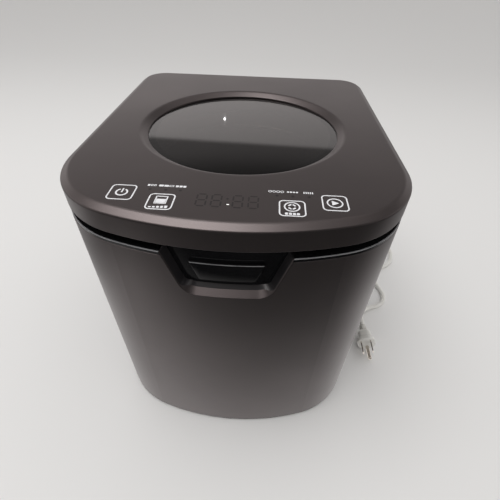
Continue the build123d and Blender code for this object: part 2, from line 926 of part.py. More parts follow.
with BuildPart() as bucket:
    turned(
        (0, bucket_bottom),
        (bucket_radius - bucket_round, bucket_bottom),
        (bucket_radius, bucket_bottom + bucket_round),
        (bucket_radius, deck_top),
        (rim_radius, deck_top),
        (rim_radius, rim_top),
        (bucket_inner, rim_top),
        (bucket_inner, bucket_top + bucket_round),
        (bucket_inner - bucket_round, bucket_top),
        (0, bucket_top),
    )
    disc(bush_radius + bush_wall_fit, bucket_bottom, bucket_top, mode=Mode.SUBTRACT)
    for side in (-1, 1):
        lug_across = sorted((side * lug_inner, side * (bucket_inner + bucket_wall / 2)))
        block(lug_across, (-lug_half, lug_half), (handle_z - lug_half, handle_z + lug_half))
    with BuildSketch(Plane.YZ.offset(-bucket_inner)):
        with Locations((0, handle_z)):
            Circle(handle_wire + lug_fit)
    extrude(amount=2 * bucket_inner, mode=Mode.SUBTRACT)
    with BuildSketch(Plane.XZ):
        with Locations((0, port_top - port_height / 2)):
            with GridLocations(vent_hole_pitch, 0, vent_holes, 1):
                Circle(vent_hole)
    extrude(amount=-bucket_radius, mode=Mode.SUBTRACT)
bucket.part.label = "bucket"
export_step(bucket.part, "parts/bucket.step")

with BuildPart() as bucket_handle:
    with BuildLine() as bail:
        CenterArc((0, 0, handle_z), handle_radius, 0, 180)
    with BuildSketch(Plane(origin=bail.line @ 0, z_dir=bail.line % 0)):
        Circle(handle_wire)
    sweep()
    with BuildSketch(Plane.YZ.offset(handle_radius)):
        with Locations((0, handle_z)):
            Circle(handle_wire)
    extrude(amount=bucket_inner - handle_radius)
    with BuildSketch(Plane.YZ.offset(-bucket_inner)):
        with Locations((0, handle_z)):
            Circle(handle_wire)
    extrude(amount=bucket_inner - handle_radius)
bucket_handle.part.label = "bucket_handle"
export_step(bucket_handle.part, "parts/bucket_handle.step")

bush_bore = stirrer_shaft + running_fit
bush_top = bucket_bottom + bush_height

with BuildPart() as bucket_bush:
    disc(bush_radius, bucket_bottom, bush_top)
    disc(bush_radius + bush_flange, bucket_top, bucket_top + bush_flange_thickness)
    disc(bush_bore, bucket_bottom, bush_top, mode=Mode.SUBTRACT)
bucket_bush.part.label = "bucket_bush"
export_step(bucket_bush.part, "parts/bucket_bush.step")

# Stirrer and its drive

cover_bottom = case_bottom + case_height
cover_top = cover_bottom + cover_thickness
socket_bottom = chamber_bottom - socket_depth - socket_floor
socket_base = socket_bottom + socket_floor
socket_top = socket_base + socket_depth
hub_top = hub_bottom + hub_height
hub_bore_top = bush_top + hub_clearance


def arm(angle, reach, rise):
    """Adds one tilted stirrer arm, running out from the hub at the given angle and height."""
    turn = math.radians(angle)
    along = (math.cos(turn), math.sin(turn), 0)
    across = (-math.sin(turn), math.cos(turn), 0)
    with BuildSketch(Plane(origin=(0, 0, hub_bottom + rise), x_dir=across, z_dir=along)) as profile:
        RectangleRounded(arm_thickness, arm_width, arm_thickness / 3, rotation=arm_tilt)
    extrude(profile.sketch, amount=reach)


with BuildPart() as stirring_blade:
    for angle in (low_arm_angle, low_arm_angle + 180):
        arm(angle, low_arm_reach, low_arm_rise)
    for angle in (high_arm_angle, high_arm_angle + 180):
        arm(angle, high_arm_reach, high_arm_rise)
    turned(
        (0, hub_bottom),
        (hub_radius, hub_bottom),
        (hub_radius - hub_taper, hub_top - hub_taper),
        (hub_radius - 2 * hub_taper, hub_top),
        (0, hub_top),
    )
    disc(bush_radius + hub_clearance, hub_bottom - arm_width, hub_bore_top, mode=Mode.SUBTRACT)
    disc(stirrer_shaft, socket_top, hub_bore_top)
    with BuildSketch(Plane.XY.offset(socket_base + hex_fit)):
        RegularPolygon(hex_flat, 6, major_radius=False)
    extrude(amount=socket_depth)
stirring_blade.part.label = "stirring_blade"
export_step(stirring_blade.part, "parts/stirring_blade.step")

with BuildPart() as drive_socket:
    disc(socket_radius, socket_bottom, socket_top)
    with BuildSketch(Plane.XY.offset(socket_base)):
        RegularPolygon(hex_flat + hex_fit, 6, major_radius=False)
    extrude(amount=socket_depth, mode=Mode.SUBTRACT)
    disc(stirrer_shaft + hub_fit, socket_bottom, socket_base, mode=Mode.SUBTRACT)
drive_socket.part.label = "drive_socket"
export_step(drive_socket.part, "parts/drive_socket.step")

with BuildPart() as output_shaft:
    disc(stirrer_shaft, case_bottom, socket_base)
output_shaft.part.label = "output_shaft"
export_step(output_shaft.part, "parts/output_shaft.step")


def gear_outline(teeth, first_angle):
    """Plan of a spur gear about the origin, with one tooth at the given angle."""
    pitch_radius = gear_module * teeth / 2
    tip_radius = pitch_radius + tooth_rise * gear_module
    root_radius = pitch_radius - tooth_sink * gear_module
    tooth = math.pi * gear_module / 2 - gear_backlash
    slope = math.tan(math.radians(pressure_angle))
    tip_half = (tooth / 2 - (tip_radius - pitch_radius) * slope) / tip_radius
    root_half = (tooth / 2 + (pitch_radius - root_radius) * slope) / root_radius
    corners = []
    for n in range(teeth):
        middle = math.radians(first_angle) + 2 * math.pi * n / teeth
        for radius, turn in (
            (root_radius, -root_half),
            (tip_radius, -tip_half),
            (tip_radius, tip_half),
            (root_radius, root_half),
        ):
            corners.append((radius * math.cos(middle + turn), radius * math.sin(middle + turn)))
    with BuildSketch() as plan:
        with BuildLine():
            Polyline(*corners, close=True)
        make_face()
    return plan.sketch


gear_top = gear_bottom + gear_width
gear_centres = gear_module * (wheel_teeth + pinion_teeth) / 2
wheel_tip = gear_module * (wheel_teeth / 2 + 1)
pinion_tip = gear_module * (pinion_teeth / 2 + 1)

with BuildPart() as output_wheel:
    with BuildSketch(Plane.XY.offset(gear_bottom)):
        add(gear_outline(wheel_teeth, 90))
    extrude(amount=gear_width)
    web_outer = wheel_tip - 4 * gear_module
    for bottom in (gear_bottom, gear_top - gear_width / 3):
        disc(web_outer, bottom, bottom + gear_width / 3, hole=wheel_hub, mode=Mode.SUBTRACT)
    disc(stirrer_shaft + hub_fit, gear_bottom, gear_top, mode=Mode.SUBTRACT)
output_wheel.part.label = "output_wheel"
export_step(output_wheel.part, "parts/output_wheel.step")

motor_top = case_bottom
motor_bottom = motor_top - motor_height

with BuildPart() as motor_pinion:
    with BuildSketch(Plane.XY.offset(gear_bottom)):
        with Locations((0, gear_centres)):
            add(gear_outline(pinion_teeth, 270 + 180 / pinion_teeth))
    extrude(amount=gear_width)
    disc(motor_shaft, motor_bottom + motor_cap, gear_bottom, at=(0, gear_centres))
motor_pinion.part.label = "motor_pinion"
export_step(motor_pinion.part, "parts/motor_pinion.step")

with BuildPart() as motor:
    disc(motor_radius, motor_bottom, motor_top, at=(0, gear_centres))
    disc(motor_radius + motor_cap_step, motor_bottom, motor_bottom + motor_cap, at=(0, gear_centres))
    shaft_bore = motor_shaft + running_fit
    disc(shaft_bore, motor_bottom + motor_cap, motor_top, at=(0, gear_centres), mode=Mode.SUBTRACT)
motor.part.label = "motor"
export_step(motor.part, "parts/motor.step")

case_inner = wheel_tip + tip_gap
case_outer = case_inner + case_wall
nose_inner = pinion_tip + tip_gap
nose_outer = nose_inner + case_wall
lug_places = [(x, y) for x in (-lug_x, lug_x) for y in (-lug_y, lug_y)]


def case_plan(wheel_room, pinion_room):
    """Plan of the gear case: a round chamber for the wheel with a nose round the pinion."""
    with BuildSketch() as plan:
        Circle(wheel_room)
        with Locations((0, gear_centres)):
            Circle(pinion_room)
        with Locations((0, gear_centres / 2)):
            Rectangle(2 * pinion_room, gear_centres)
    return plan.sketch


with BuildPart() as gear_case:
    with BuildSketch(Plane.XY.offset(case_bottom)):
        add(case_plan(case_outer, nose_outer))
        with Locations(*lug_places):
            Circle(lug_radius)
    extrude(amount=case_height)
    with BuildSketch(Plane.XY.offset(case_bottom + case_plate)):
        add(case_plan(case_inner, nose_inner))
    extrude(amount=case_height - case_plate, mode=Mode.SUBTRACT)
    disc(gear_bush_radius + bush_fit, case_bottom, case_bottom + case_plate, mode=Mode.SUBTRACT)
    shaft_hole = motor_boss
    disc(shaft_hole, case_bottom, case_bottom + case_plate, at=(0, gear_centres), mode=Mode.SUBTRACT)
    for place in lug_places:
        disc(screw_radius + screw_fit, case_bottom, cover_bottom, at=place, mode=Mode.SUBTRACT)
gear_case.part.label = "gear_case"
export_step(gear_case.part, "parts/gear_case.step")

with BuildPart() as gear_cover:
    with BuildSketch(Plane.XY.offset(cover_bottom)):
        add(case_plan(case_outer, nose_outer))
        with Locations(*lug_places):
            Circle(lug_radius)
    extrude(amount=cover_thickness)
    disc(gear_bush_radius + bush_fit, cover_bottom, cover_top, mode=Mode.SUBTRACT)
    for place in lug_places:
        disc(screw_radius + screw_fit, cover_bottom, cover_top, at=place, mode=Mode.SUBTRACT)
gear_cover.part.label = "gear_cover"
export_step(gear_cover.part, "parts/gear_cover.step")

with BuildPart() as shaft_bushes:
    for bottom, top in ((case_bottom, gear_bottom - hub_clearance), (gear_top + hub_clearance, cover_top)):
        disc(gear_bush_radius, bottom, top, hole=stirrer_shaft + running_fit)
shaft_bushes.part.label = "shaft_bushes"
export_step(shaft_bushes.part, "parts/shaft_bushes.step")

with BuildPart() as case_pillars:
    for place in lug_places:
        disc(pillar_radius, base_top, case_bottom, hole=screw_radius + screw_fit, at=place)
case_pillars.part.label = "case_pillars"
export_step(case_pillars.part, "parts/case_pillars.step")

with BuildPart() as case_screws:
    for place in lug_places:
        disc(screw_head, cover_top, cover_top + head_height, at=place)
        disc(screw_radius, case_bottom - pillar_screw, cover_top, at=place)
case_screws.part.label = "case_screws"
export_step(case_screws.part, "parts/case_screws.step")

# Exhaust fan

fan_front = inner_back - fan_depth
fan_axis = (0, fan_height)
rotor_front = fan_front + fan_plate + 2 * hub_clearance
rotor_back = inner_back - fan_plate

with BuildPart() as fan_frame:
    fan_up = (fan_height - fan_half, fan_height + fan_half)
    block((-fan_half, fan_half), (fan_front, inner_back), fan_up)
    cross_disc(fan_bore, fan_front, inner_back, at=fan_axis, mode=Mode.SUBTRACT)
    cross_disc(fan_hub, fan_front, fan_front + fan_plate, at=fan_axis)
    with BuildSketch(Plane.XZ.offset(-fan_front - fan_plate)):
        with Locations(fan_axis):
            with PolarLocations(fan_bore / 2 + fan_hub / 2, strut_count, start_angle=90):
                Rectangle(fan_bore - fan_hub + fan_plate, strut_width)
    extrude(amount=fan_plate)
    cross_disc(screw_radius + running_fit, fan_front, fan_front + fan_plate, at=fan_axis, mode=Mode.SUBTRACT)
    for x in (-1, 1):
        for z in (-1, 1):
            corner = (x * (fan_half - lug_radius / 2), fan_height + z * (fan_half - lug_radius / 2))
            cross_disc(screw_radius, fan_front, inner_back, at=corner, mode=Mode.SUBTRACT)
fan_frame.part.label = "fan_frame"
export_step(fan_frame.part, "parts/fan_frame.step")

with BuildPart() as fan_rotor:
    cross_disc(fan_hub, rotor_front, rotor_back, at=fan_axis)
    cross_disc(screw_radius, fan_front, rotor_front, at=fan_axis)
    blade_middle = (rotor_front + rotor_back) / 2
    for n in range(blade_count):
        turn = 2 * math.pi * n / blade_count
        outward = (math.cos(turn), 0, math.sin(turn))
        with BuildSketch(Plane(origin=(0, blade_middle, fan_height), x_dir=(0, 1, 0), z_dir=outward)):
            Rectangle(blade_chord, blade_thickness, rotation=blade_pitch)
        extrude(amount=blade_reach)
fan_rotor.part.label = "fan_rotor"
export_step(fan_rotor.part, "parts/fan_rotor.step")

# Filter drawer, its frame and the carbon filter

drawer_front = wrap_outer + drawer_clear
hole_half = drawer_half + drawer_fit

with BuildPart() as drawer_frame:
    frame_half = front_half + frame_margin
    frame_up = (front_bottom - frame_margin, front_top + frame_margin)
    block((-frame_half, frame_half), (inner_back - frame_thickness, inner_back), frame_up)
    rail_bottom = drawer_bottom - drawer_fit - rail_thickness
    for side in (-1, 1):
        wall_across = sorted((side * hole_half, side * (hole_half + rail_thickness)))
        rail_along = (drawer_front, inner_back)
        block(wall_across, rail_along, (rail_bottom, drawer_middle))
        ledge_across = sorted((side * (hole_half - rail_width), side * (hole_half + rail_thickness)))
        block(ledge_across, rail_along, (rail_bottom, rail_bottom + rail_thickness))
    hole_up = (drawer_bottom - drawer_fit, drawer_top + drawer_fit)
    hole_along = (inner_back - frame_thickness, inner_back)
    block((-hole_half, hole_half), hole_along, hole_up, mode=Mode.SUBTRACT)
drawer_frame.part.label = "drawer_frame"
export_step(drawer_frame.part, "parts/drawer_frame.step")

inside_half = drawer_half - drawer_wall
inside_front = drawer_front + drawer_wall
inside_bottom = drawer_bottom + drawer_wall
divider_back = inner_back - pull_room
divider_front = divider_back - drawer_wall

with BuildPart() as filter_drawer:
    block((-drawer_half, drawer_half), (drawer_front, inner_back), (drawer_bottom, drawer_top))
    for along in ((inside_front, divider_front), (divider_back, inner_back - drawer_wall)):
        block((-inside_half, inside_half), along, (inside_bottom, drawer_top), mode=Mode.SUBTRACT)
    with BuildSketch(Plane.XY.offset(drawer_bottom)):
        with Locations((0, (inside_front + divider_front) / 2)):
            with GridLocations(grille_pitch, 0, grille_slots, 1):
                SlotOverall(divider_front - inside_front - 2 * grille_border, grille_width, rotation=90)
    extrude(amount=drawer_wall, mode=Mode.SUBTRACT)
    with BuildSketch(Plane.XZ.offset(-back)):
        with Locations((0, drawer_middle)):
            RectangleRounded(2 * front_half, front_top - front_bottom, front_round)
    extrude(amount=shell_wall)
    with BuildSketch(Plane.XZ.offset(-back)):
        with Locations((0, front_top - pull_drop - pull_height / 2)):
            SlotOverall(2 * pull_half, pull_height)
    extrude(amount=shell_wall + drawer_wall, mode=Mode.SUBTRACT)
filter_drawer.part.label = "filter_drawer"
export_step(filter_drawer.part, "parts/filter_drawer.step")

with BuildPart() as carbon_filter:
    filter_half = inside_half - filter_fit
    filter_along = (inside_front + filter_fit, divider_front - filter_fit)
    filter_up = (inside_bottom, drawer_top - filter_drop)
    block((-filter_half, filter_half), filter_along, filter_up, corner=filter_corner)
carbon_filter.part.label = "carbon_filter"
export_step(carbon_filter.part, "parts/carbon_filter.step")

# Air duct from the chamber's port to the filter

duct_front = chamber_outer + duct_set
duct_back = divider_back
duct_inner = duct_half - duct_wall

with BuildPart() as air_duct:
    block((-duct_half, duct_half), (duct_front, duct_back), (duct_bottom, deck_bottom))
    neck_half = port_half + neck_wall
    neck_up = (port_top - port_height - neck_wall, port_top + neck_wall)
    block((-neck_half, neck_half), (chamber_outer + neck_gap, duct_front), neck_up)
    duct_along = (duct_front + duct_wall, duct_back - duct_wall)
    block((-duct_inner, duct_inner), duct_along, (duct_bottom, deck_bottom - duct_wall), mode=Mode.SUBTRACT)
    port_along = (chamber_outer, duct_front + duct_wall)
    block((-port_half, port_half), port_along, (port_top - port_height, port_top), mode=Mode.SUBTRACT)
air_duct.part.label = "air_duct"
export_step(air_duct.part, "parts/air_duct.step")

# Power board on its carrier

power_set = -ear_front + power_clear + 4 * carrier_thickness
power_front = -power_set - board_thickness
power_top = power_bottom + power_height

with BuildPart() as board_carrier:
    carrier_half = power_half + carrier_margin
    carrier_along = (-power_set, -power_set + carrier_thickness)
    block((-carrier_half, carrier_half), carrier_along, (base_top, power_top + carrier_margin))
    foot_along = (-power_set, -power_set + 4 * carrier_thickness)
    block((-carrier_half, carrier_half), foot_along, (base_top, base_top + carrier_thickness))
board_carrier.part.label = "board_carrier"
export_step(board_carrier.part, "parts/board_carrier.step")

with BuildPart() as power_board:
    block((-power_half, power_half), (power_front, -power_set), (power_bottom, power_top))
power_board.part.label = "power_board"
export_step(power_board.part, "parts/power_board.step")

square_parts = (  # left, right, bottom, top and how far each stands out
    (-44, -14, 46, 74, 12),  # transformer
    (-44, -25, 92, 108, 11),  # relay
    (24, 46, 84, 120, 9),  # heat sink
    (-12, 12, 116, 124, 8),  # connector
)
round_parts = ((4, 60, 8, 13), (28, 54, 5, 11), (8, 92, 5, 11))  # capacitors: x, z, radius, length

with BuildPart() as board_parts:
    for left, right, bottom, top, length in square_parts:
        block((left, right), (power_front - length, power_front), (bottom, top))
    for x, z, radius, length in round_parts:
        cross_disc(radius, power_front - length, power_front, at=(x, z))
board_parts.part.label = "board_parts"
export_step(board_parts.part, "parts/board_parts.step")

# Mains lead: strain relief, cord, coil and its tie, and plug

cord_radius = cord_diameter / 2
gland_back = back + gland_length

with BuildPart() as cord_gland:
    with BuildSketch(Plane.XZ.offset(-back)):
        with Locations((gland_x, gland_z)):
            Circle(gland_radius)
    with BuildSketch(Plane.XZ.offset(-gland_back)):
        with Locations((gland_x, gland_z)):
            Circle(gland_end)
    loft()
    cross_disc(gland_waist, inner_back, back, at=(gland_x, gland_z))
    flange_start = inner_back - gland_flange_thickness
    cross_disc(gland_flange, flange_start, inner_back, at=(gland_x, gland_z))
cord_gland.part.label = "cord_gland"
export_step(cord_gland.part, "parts/cord_gland.step")

lead_points = [
    (gland_x, gland_back, gland_z),
    (gland_x, 207, gland_z),
    (97, 227, 17.5),
    (82, 245, 13),
    (61, 256, 10),
    (40, 257.5, 9.4),
]
run_points = [
    (40, 179, 3.1),
    (66, 180, 3.1),
    (98, 184, 3.1),
    (131, 191, 3.1),
    (165, 196, 3.1),
    (200, 197, 3.1),
    (228, 194, 3.1),
    (248, 187, 3.1),
    (261, 175, 3.1),
    (267, 159, 3.1),
    (264, 142, 3.1),
    (252, 129, 3.1),
    (237, 120, 3.1),
    (226, 107, 3.1),
    (221, 91, 3.1),
    (223, 75, 3.1),
    (230, 61, 3.1),
    (233, 45, 3.1),
    (228, 30, 3.1),
    (216, 19, 3.1),
    (200, 16, 4.5),
    (186.5, 7, 9.2),
    (plug_x, -7.5, plug_height),
    (plug_x, -plug_start, plug_height),
]


def bend_radii(points):
    """Radius of the arc at each corner: 0.45 of the shorter run over the tangent of half the turn."""
    radii = []
    for before, corner, after in zip(points, points[1:], points[2:]):
        run_in = Vector(*corner) - Vector(*before)
        run_out = Vector(*after) - Vector(*corner)
        half_turn = math.radians(run_in.get_angle(run_out) / 2)
        radii.append(0.45 * min(run_in.length, run_out.length) / math.tan(half_turn))
    return radii


for name, points in (("cord_lead", lead_points), ("cord_run", run_points)):
    print(name, "radii", [round(radius, 1) for radius in bend_radii(points)])

with BuildPart() as cord_lead:
    with BuildLine() as lead_line:
        FilletPolyline(*lead_points, radius=bend_radii(lead_points))
    with BuildSketch(Plane(origin=lead_line.line @ 0, z_dir=lead_line.line % 0)):
        Circle(cord_radius)
    sweep()
cord_lead.part.label = "cord_lead"
export_step(cord_lead.part, "parts/cord_lead.step")

with BuildPart() as cord_run:
    with BuildLine() as run_line:
        FilletPolyline(*run_points, radius=bend_radii(run_points))
    with BuildSketch(Plane(origin=run_line.line @ 0, z_dir=run_line.line % 0)):
        Circle(cord_radius)
    sweep()
cord_run.part.label = "cord_run"
export_step(cord_run.part, "parts/cord_run.step")

for tube, line in ((cord_lead, lead_line), (cord_run, run_line)):
    length = sum(edge.length for edge in line.edges())
    ratio = tube.part.volume / (math.pi * cord_radius**2 * length)
    print(tube.part.label, "length", round(length, 1), "volume over section and length", round(ratio, 4))

with BuildPart() as cord_coil:
    disc(coil_outer, 0, coil_height, hole=coil_inner, at=(coil_x, coil_y))
    fillet(cord_coil.edges().filter_by(GeomType.CIRCLE), coil_round)
cord_coil.part.label = "cord_coil"
export_step(cord_coil.part, "parts/cord_coil.step")

with BuildPart() as coil_tie:
    tie_along = (coil_y - tie_width / 2, coil_y + tie_width / 2)
    room = tie_fit + tie_thickness
    tie_across = (coil_x - coil_outer - room, coil_x - coil_inner + room)
    block(tie_across, tie_along, (0, coil_height + room))
    room_across = (coil_x - coil_outer - tie_fit, coil_x - coil_inner + tie_fit)
    block(room_across, tie_along, (0, coil_height + tie_fit), mode=Mode.SUBTRACT)
coil_tie.part.label = "coil_tie"
export_step(coil_tie.part, "parts/coil_tie.step")

roll = math.radians(plug_roll)


def plug_plane(distance):
    """Cross-section plane of the plug, that far in front of the end where its cord enters."""
    return Plane(
        origin=(plug_x, -plug_start - distance, plug_height),
        x_dir=(math.cos(roll), 0, math.sin(roll)),
        z_dir=(0, -1, 0),
    )


with BuildPart() as plug_body:
    with BuildSketch(plug_plane(0)):
        Circle(cord_radius + relief_wall)
    with BuildSketch(plug_plane(relief_length)):
        Circle(relief_end)
    loft()
    with BuildSketch(plug_plane(relief_length)):
        RectangleRounded(2 * relief_end, 2 * relief_end, relief_corner)
    with BuildSketch(plug_plane(grip_start)):
        RectangleRounded(grip_width, grip_height, relief_end)
    loft()
    with BuildSketch(plug_plane(grip_start)):
        RectangleRounded(grip_width, grip_height, relief_end)
    extrude(amount=grip_length - grip_start)
    with BuildSketch(plug_plane(grip_length)):
        RectangleRounded(plug_face, plug_face, plug_corner)
    extrude(amount=plug_length - grip_length)
plug_body.part.label = "plug_body"
export_step(plug_body.part, "parts/plug_body.step")

with BuildPart() as plug_pins:
    with BuildSketch(plug_plane(plug_length)):
        with Locations((-blade_spacing / 2, prong_rise), (blade_spacing / 2, prong_rise)):
            Rectangle(prong_thickness, blade_height)
    extrude(amount=prong_length)
    with BuildSketch(plug_plane(plug_length)):
        with Locations((0, prong_rise - ground_drop)):
            Circle(ground_radius)
    extrude(amount=ground_length)
    hole_plane = plug_plane(plug_length + prong_length - hole_set)
    with BuildSketch(
        Plane(
            origin=hole_plane.from_local_coords((0, prong_rise, 0)),
            x_dir=hole_plane.z_dir,
            z_dir=hole_plane.x_dir,
        )
    ):
        Circle(prong_hole)
    extrude(amount=blade_spacing, both=True, mode=Mode.SUBTRACT)
    pin_tip = plug_pins.faces().sort_by(Axis.Y)[0]
    fillet(pin_tip.edges(), 0.9 * ground_radius)
plug_pins.part.label = "plug_pins"
export_step(plug_pins.part, "parts/plug_pins.step")
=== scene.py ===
import math

import bmesh
import bpy
from bmesh.types import BMEdge, BMFace, BMVert
from mathutils import Matrix, Vector


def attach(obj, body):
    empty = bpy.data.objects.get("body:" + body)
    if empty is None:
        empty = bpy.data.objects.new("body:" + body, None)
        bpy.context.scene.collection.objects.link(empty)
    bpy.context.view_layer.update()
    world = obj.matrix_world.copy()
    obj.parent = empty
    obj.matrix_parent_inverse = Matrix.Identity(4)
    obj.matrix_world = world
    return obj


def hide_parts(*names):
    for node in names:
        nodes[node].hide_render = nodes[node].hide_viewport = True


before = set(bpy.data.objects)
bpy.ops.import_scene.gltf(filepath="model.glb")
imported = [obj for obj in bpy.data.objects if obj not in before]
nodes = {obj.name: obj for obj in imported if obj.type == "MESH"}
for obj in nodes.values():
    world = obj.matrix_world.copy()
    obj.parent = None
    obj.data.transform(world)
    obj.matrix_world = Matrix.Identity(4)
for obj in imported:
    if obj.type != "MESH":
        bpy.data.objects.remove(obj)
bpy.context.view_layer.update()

# ------------------------
# Camera. It stands in front of the appliance and above it, a little right of its middle, and
# looks down on the lid, with the whole body in view.

CAMERA_PLACE = (0.02327, -0.32999, 0.42739)
CAMERA_TURN, CAMERA_DIP, CAMERA_ROLL = 0.0402, 0.7366, 0.0297  # radians


def into_scene(name, data):
    """Links a new object with that data into the scene."""
    made = bpy.data.objects.new(name, data)
    bpy.context.collection.objects.link(made)
    return made


lens = bpy.data.cameras.new("camera")
lens.lens = 24.4858
lens.clip_start = 0.01
camera = into_scene("camera", lens)
camera.matrix_world = (
    Matrix.Translation(CAMERA_PLACE)
    @ Matrix.Rotation(CAMERA_TURN, 4, "Z")
    @ Matrix.Rotation(math.pi / 2 - CAMERA_DIP, 4, "X")
    @ Matrix.Rotation(CAMERA_ROLL, 4, "Z")
)
bpy.context.scene.camera = camera

# ------------------------
# Studio. A pale laminate worktop in a white booth, under one large soft lamp high on the left and
# one small far lamp. Gloss shows the booth's white wall, a darker room above it and in front, a
# bright panel overhead, and the part of the worktop that the lamps reach.

bpy.context.scene.view_settings.view_transform = "Standard"


def ramp_between(tree, source, start, end, low, high):
    """Value that goes smoothly from low to high as the source goes from start to end."""
    ramp = tree.nodes.new("ShaderNodeMapRange")
    ramp.interpolation_type = "SMOOTHSTEP"
    for socket, value in zip(ramp.inputs[1:5], (start, end, low, high)):
        socket.default_value = value
    tree.links.new(source, ramp.inputs[0])
    return ramp.outputs[0]


def combine(tree, operation, first, second=0.0):
    """Joins two values with a Math node; either may be a plain number."""
    join = tree.nodes.new("ShaderNodeMath")
    join.operation = operation
    for socket, value in zip(join.inputs, (first, second)):
        if isinstance(value, (int, float)):
            socket.default_value = value
        else:
            tree.links.new(value, socket)
    return join.outputs[0]


def product(tree, first, *others):
    """Multiplies two or more values."""
    for other in others:
        first = combine(tree, "MULTIPLY", first, other)
    return first


def mix_colour(tree, share, first, second):
    """Colour that goes from first to second with the share; either may be plain red, green and blue."""
    mix = tree.nodes.new("ShaderNodeMix")
    mix.data_type = "RGBA"
    tree.links.new(share, mix.inputs[0])
    for socket, colour in ((mix.inputs[6], first), (mix.inputs[7], second)):
        if isinstance(colour, tuple):
            socket.default_value = (*colour, 1)
        else:
            tree.links.new(colour, socket)
    return mix.outputs[2]


def axes_of(tree, kind="Object"):
    """Outputs X, Y and Z of a place on a piece, or of a direction in the booth."""
    place = tree.nodes.new("ShaderNodeTexCoord")
    axes = tree.nodes.new("ShaderNodeSeparateXYZ")
    tree.links.new(place.outputs[kind], axes.inputs[0])
    return axes.outputs


def new_material(name, **settings):
    """Makes a material with those settings; returns it, its node tree and its shader."""
    material = bpy.data.materials.new(name)
    material.use_nodes = True
    shader = material.node_tree.nodes["Principled BSDF"]
    for setting, value in settings.items():
        shader.inputs[setting.replace("_", " ")].default_value = value
    return material, material.node_tree, shader


worktop_mesh = bpy.data.meshes.new("worktop")
bm = bmesh.new()
bmesh.ops.create_grid(bm, x_segments=1, y_segments=1, size=8)
bm.to_mesh(worktop_mesh)
bm.free()
worktop = into_scene("worktop", worktop_mesh)
laminate, tree, shader = new_material("laminate", Roughness=0.75, Specular_IOR_Level=0.2)
axes = axes_of(tree)
# Painted shade: the worktop's colour grows a little darker far behind, where less light reaches it.
tone = ramp_between(tree, axes["Y"], 0.3, 1.6, 0.76, 0.66)  # a little darker far behind
tint = tree.nodes.new("ShaderNodeCombineColor")
for channel, share in zip(tint.inputs, (1.0, 0.99, 0.98)):
    tree.links.new(product(tree, tone, share), channel)
tree.links.new(tint.outputs[0], shader.inputs["Base Color"])
# Painted reflection: to glossy rays the worktop glows, bright near the appliance and on the left where the lamps
# reach it, and dark in front.
lamp_edge = combine(tree, "SUBTRACT", axes["Y"], product(tree, axes["X"], 0.28))
lit_near = product(
    tree,
    ramp_between(tree, lamp_edge, -0.385, -0.12, 0.015, 0.95),
    ramp_between(tree, axes["X"], -0.48, -0.26, 0.32, 1.0),
    ramp_between(tree, axes["X"], 0.25, 0.50, 1.0, 0.42),
)
lit_left = product(
    tree,
    ramp_between(tree, axes["X"], -0.52, -0.36, 0.80, 0.0),
    ramp_between(tree, axes["X"], -0.80, -0.55, 0.4, 1.0),
    ramp_between(tree, axes["Y"], -0.35, -0.02, 0.2, 1.0),
)
in_gloss = tree.nodes.new("ShaderNodeEmission")
in_gloss.inputs["Color"].default_value = (1.0, 0.97, 0.96, 1)
tree.links.new(combine(tree, "MAXIMUM", lit_near, lit_left), in_gloss.inputs["Strength"])
path = tree.nodes.new("ShaderNodeLightPath")
either = tree.nodes.new("ShaderNodeMixShader")
for socket, source in zip(either.inputs, (path.outputs["Is Glossy Ray"], shader.outputs[0], in_gloss.outputs[0])):
    tree.links.new(source, socket)
tree.links.new(either.outputs[0], tree.nodes["Material Output"].inputs["Surface"])
worktop_mesh.materials.append(laminate)

key_lamp = bpy.data.lights.new("key_lamp", "AREA")
key_lamp.shape = "SQUARE"
key_lamp.size = 1.3
key_lamp.energy = 16
key_place = Vector((-0.55, -0.32, 2.1))
key_aim = key_place.to_track_quat("Z", "Y").to_matrix().to_4x4()
into_scene("key_lamp", key_lamp).matrix_world = Matrix.Translation(key_place) @ key_aim

far_lamp = bpy.data.lights.new("far_lamp", "POINT")  # shows in the window as a bright dot
far_lamp.shadow_soft_size = 0.005
far_lamp.energy = 0.10
into_scene("far_lamp", far_lamp).location = (-0.371, 2.80, 1.372)

booth = bpy.data.worlds.new("booth")
bpy.context.scene.world = booth
booth.use_nodes = True
tree = booth.node_tree
sky = axes_of(tree, "Generated")
back_top = combine(tree, "ADD", product(tree, sky["Y"], 0.4646), product(tree, sky["X"], 0.0175))
side_top = ramp_between(tree, combine(tree, "ABSOLUTE", sky["X"]), 0.40, 0.60, 0.0, 0.40)
above_wall = combine(tree, "SUBTRACT", sky["Z"], combine(tree, "MAXIMUM", back_top, side_top))
wall = ramp_between(tree, above_wall, -0.008, 0.006, 0.88, 0.25)
room = ramp_between(tree, sky["Z"], 0.43, 0.50, 1.0, 0.45)
ceiling = ramp_between(tree, sky["Z"], 0.56, 0.80, 0.0, 0.60)
front_dark = ramp_between(tree, sky["Y"], -0.75, 0.15, 0.05, 1.0)
side_fall = ramp_between(tree, sky["X"], -0.6, 0.6, 1.1, 0.70)
around = product(tree, combine(tree, "ADD", product(tree, wall, room), ceiling), front_dark, side_fall)
panel_slant = combine(tree, "ADD", sky["Y"], product(tree, sky["X"], 0.25))
overhead = product(
    tree,
    ramp_between(tree, sky["X"], -0.95, -0.30, 0.5, 2.5),
    ramp_between(tree, sky["X"], -0.26, 0.42, 1.0, 0.02),
    ramp_between(tree, sky["Y"], -0.76, -0.35, 0.0, 1.0),
    ramp_between(tree, panel_slant, -0.14, 0.01, 1.0, 0.0),
    ramp_between(tree, sky["Z"], 0.42, 0.60, 0.0, 1.0),
)
path = tree.nodes.new("ShaderNodeLightPath")
level = tree.nodes.new("ShaderNodeMix")
tree.links.new(path.outputs["Is Glossy Ray"], level.inputs[0])
level.inputs[2].default_value = 0.75
tree.links.new(combine(tree, "ADD", around, overhead), level.inputs[3])
hue = mix_colour(tree, path.outputs["Is Glossy Ray"], (1.0, 0.99, 0.98), (1.0, 0.94, 0.93))
tree.links.new(hue, tree.nodes["Background"].inputs["Color"])
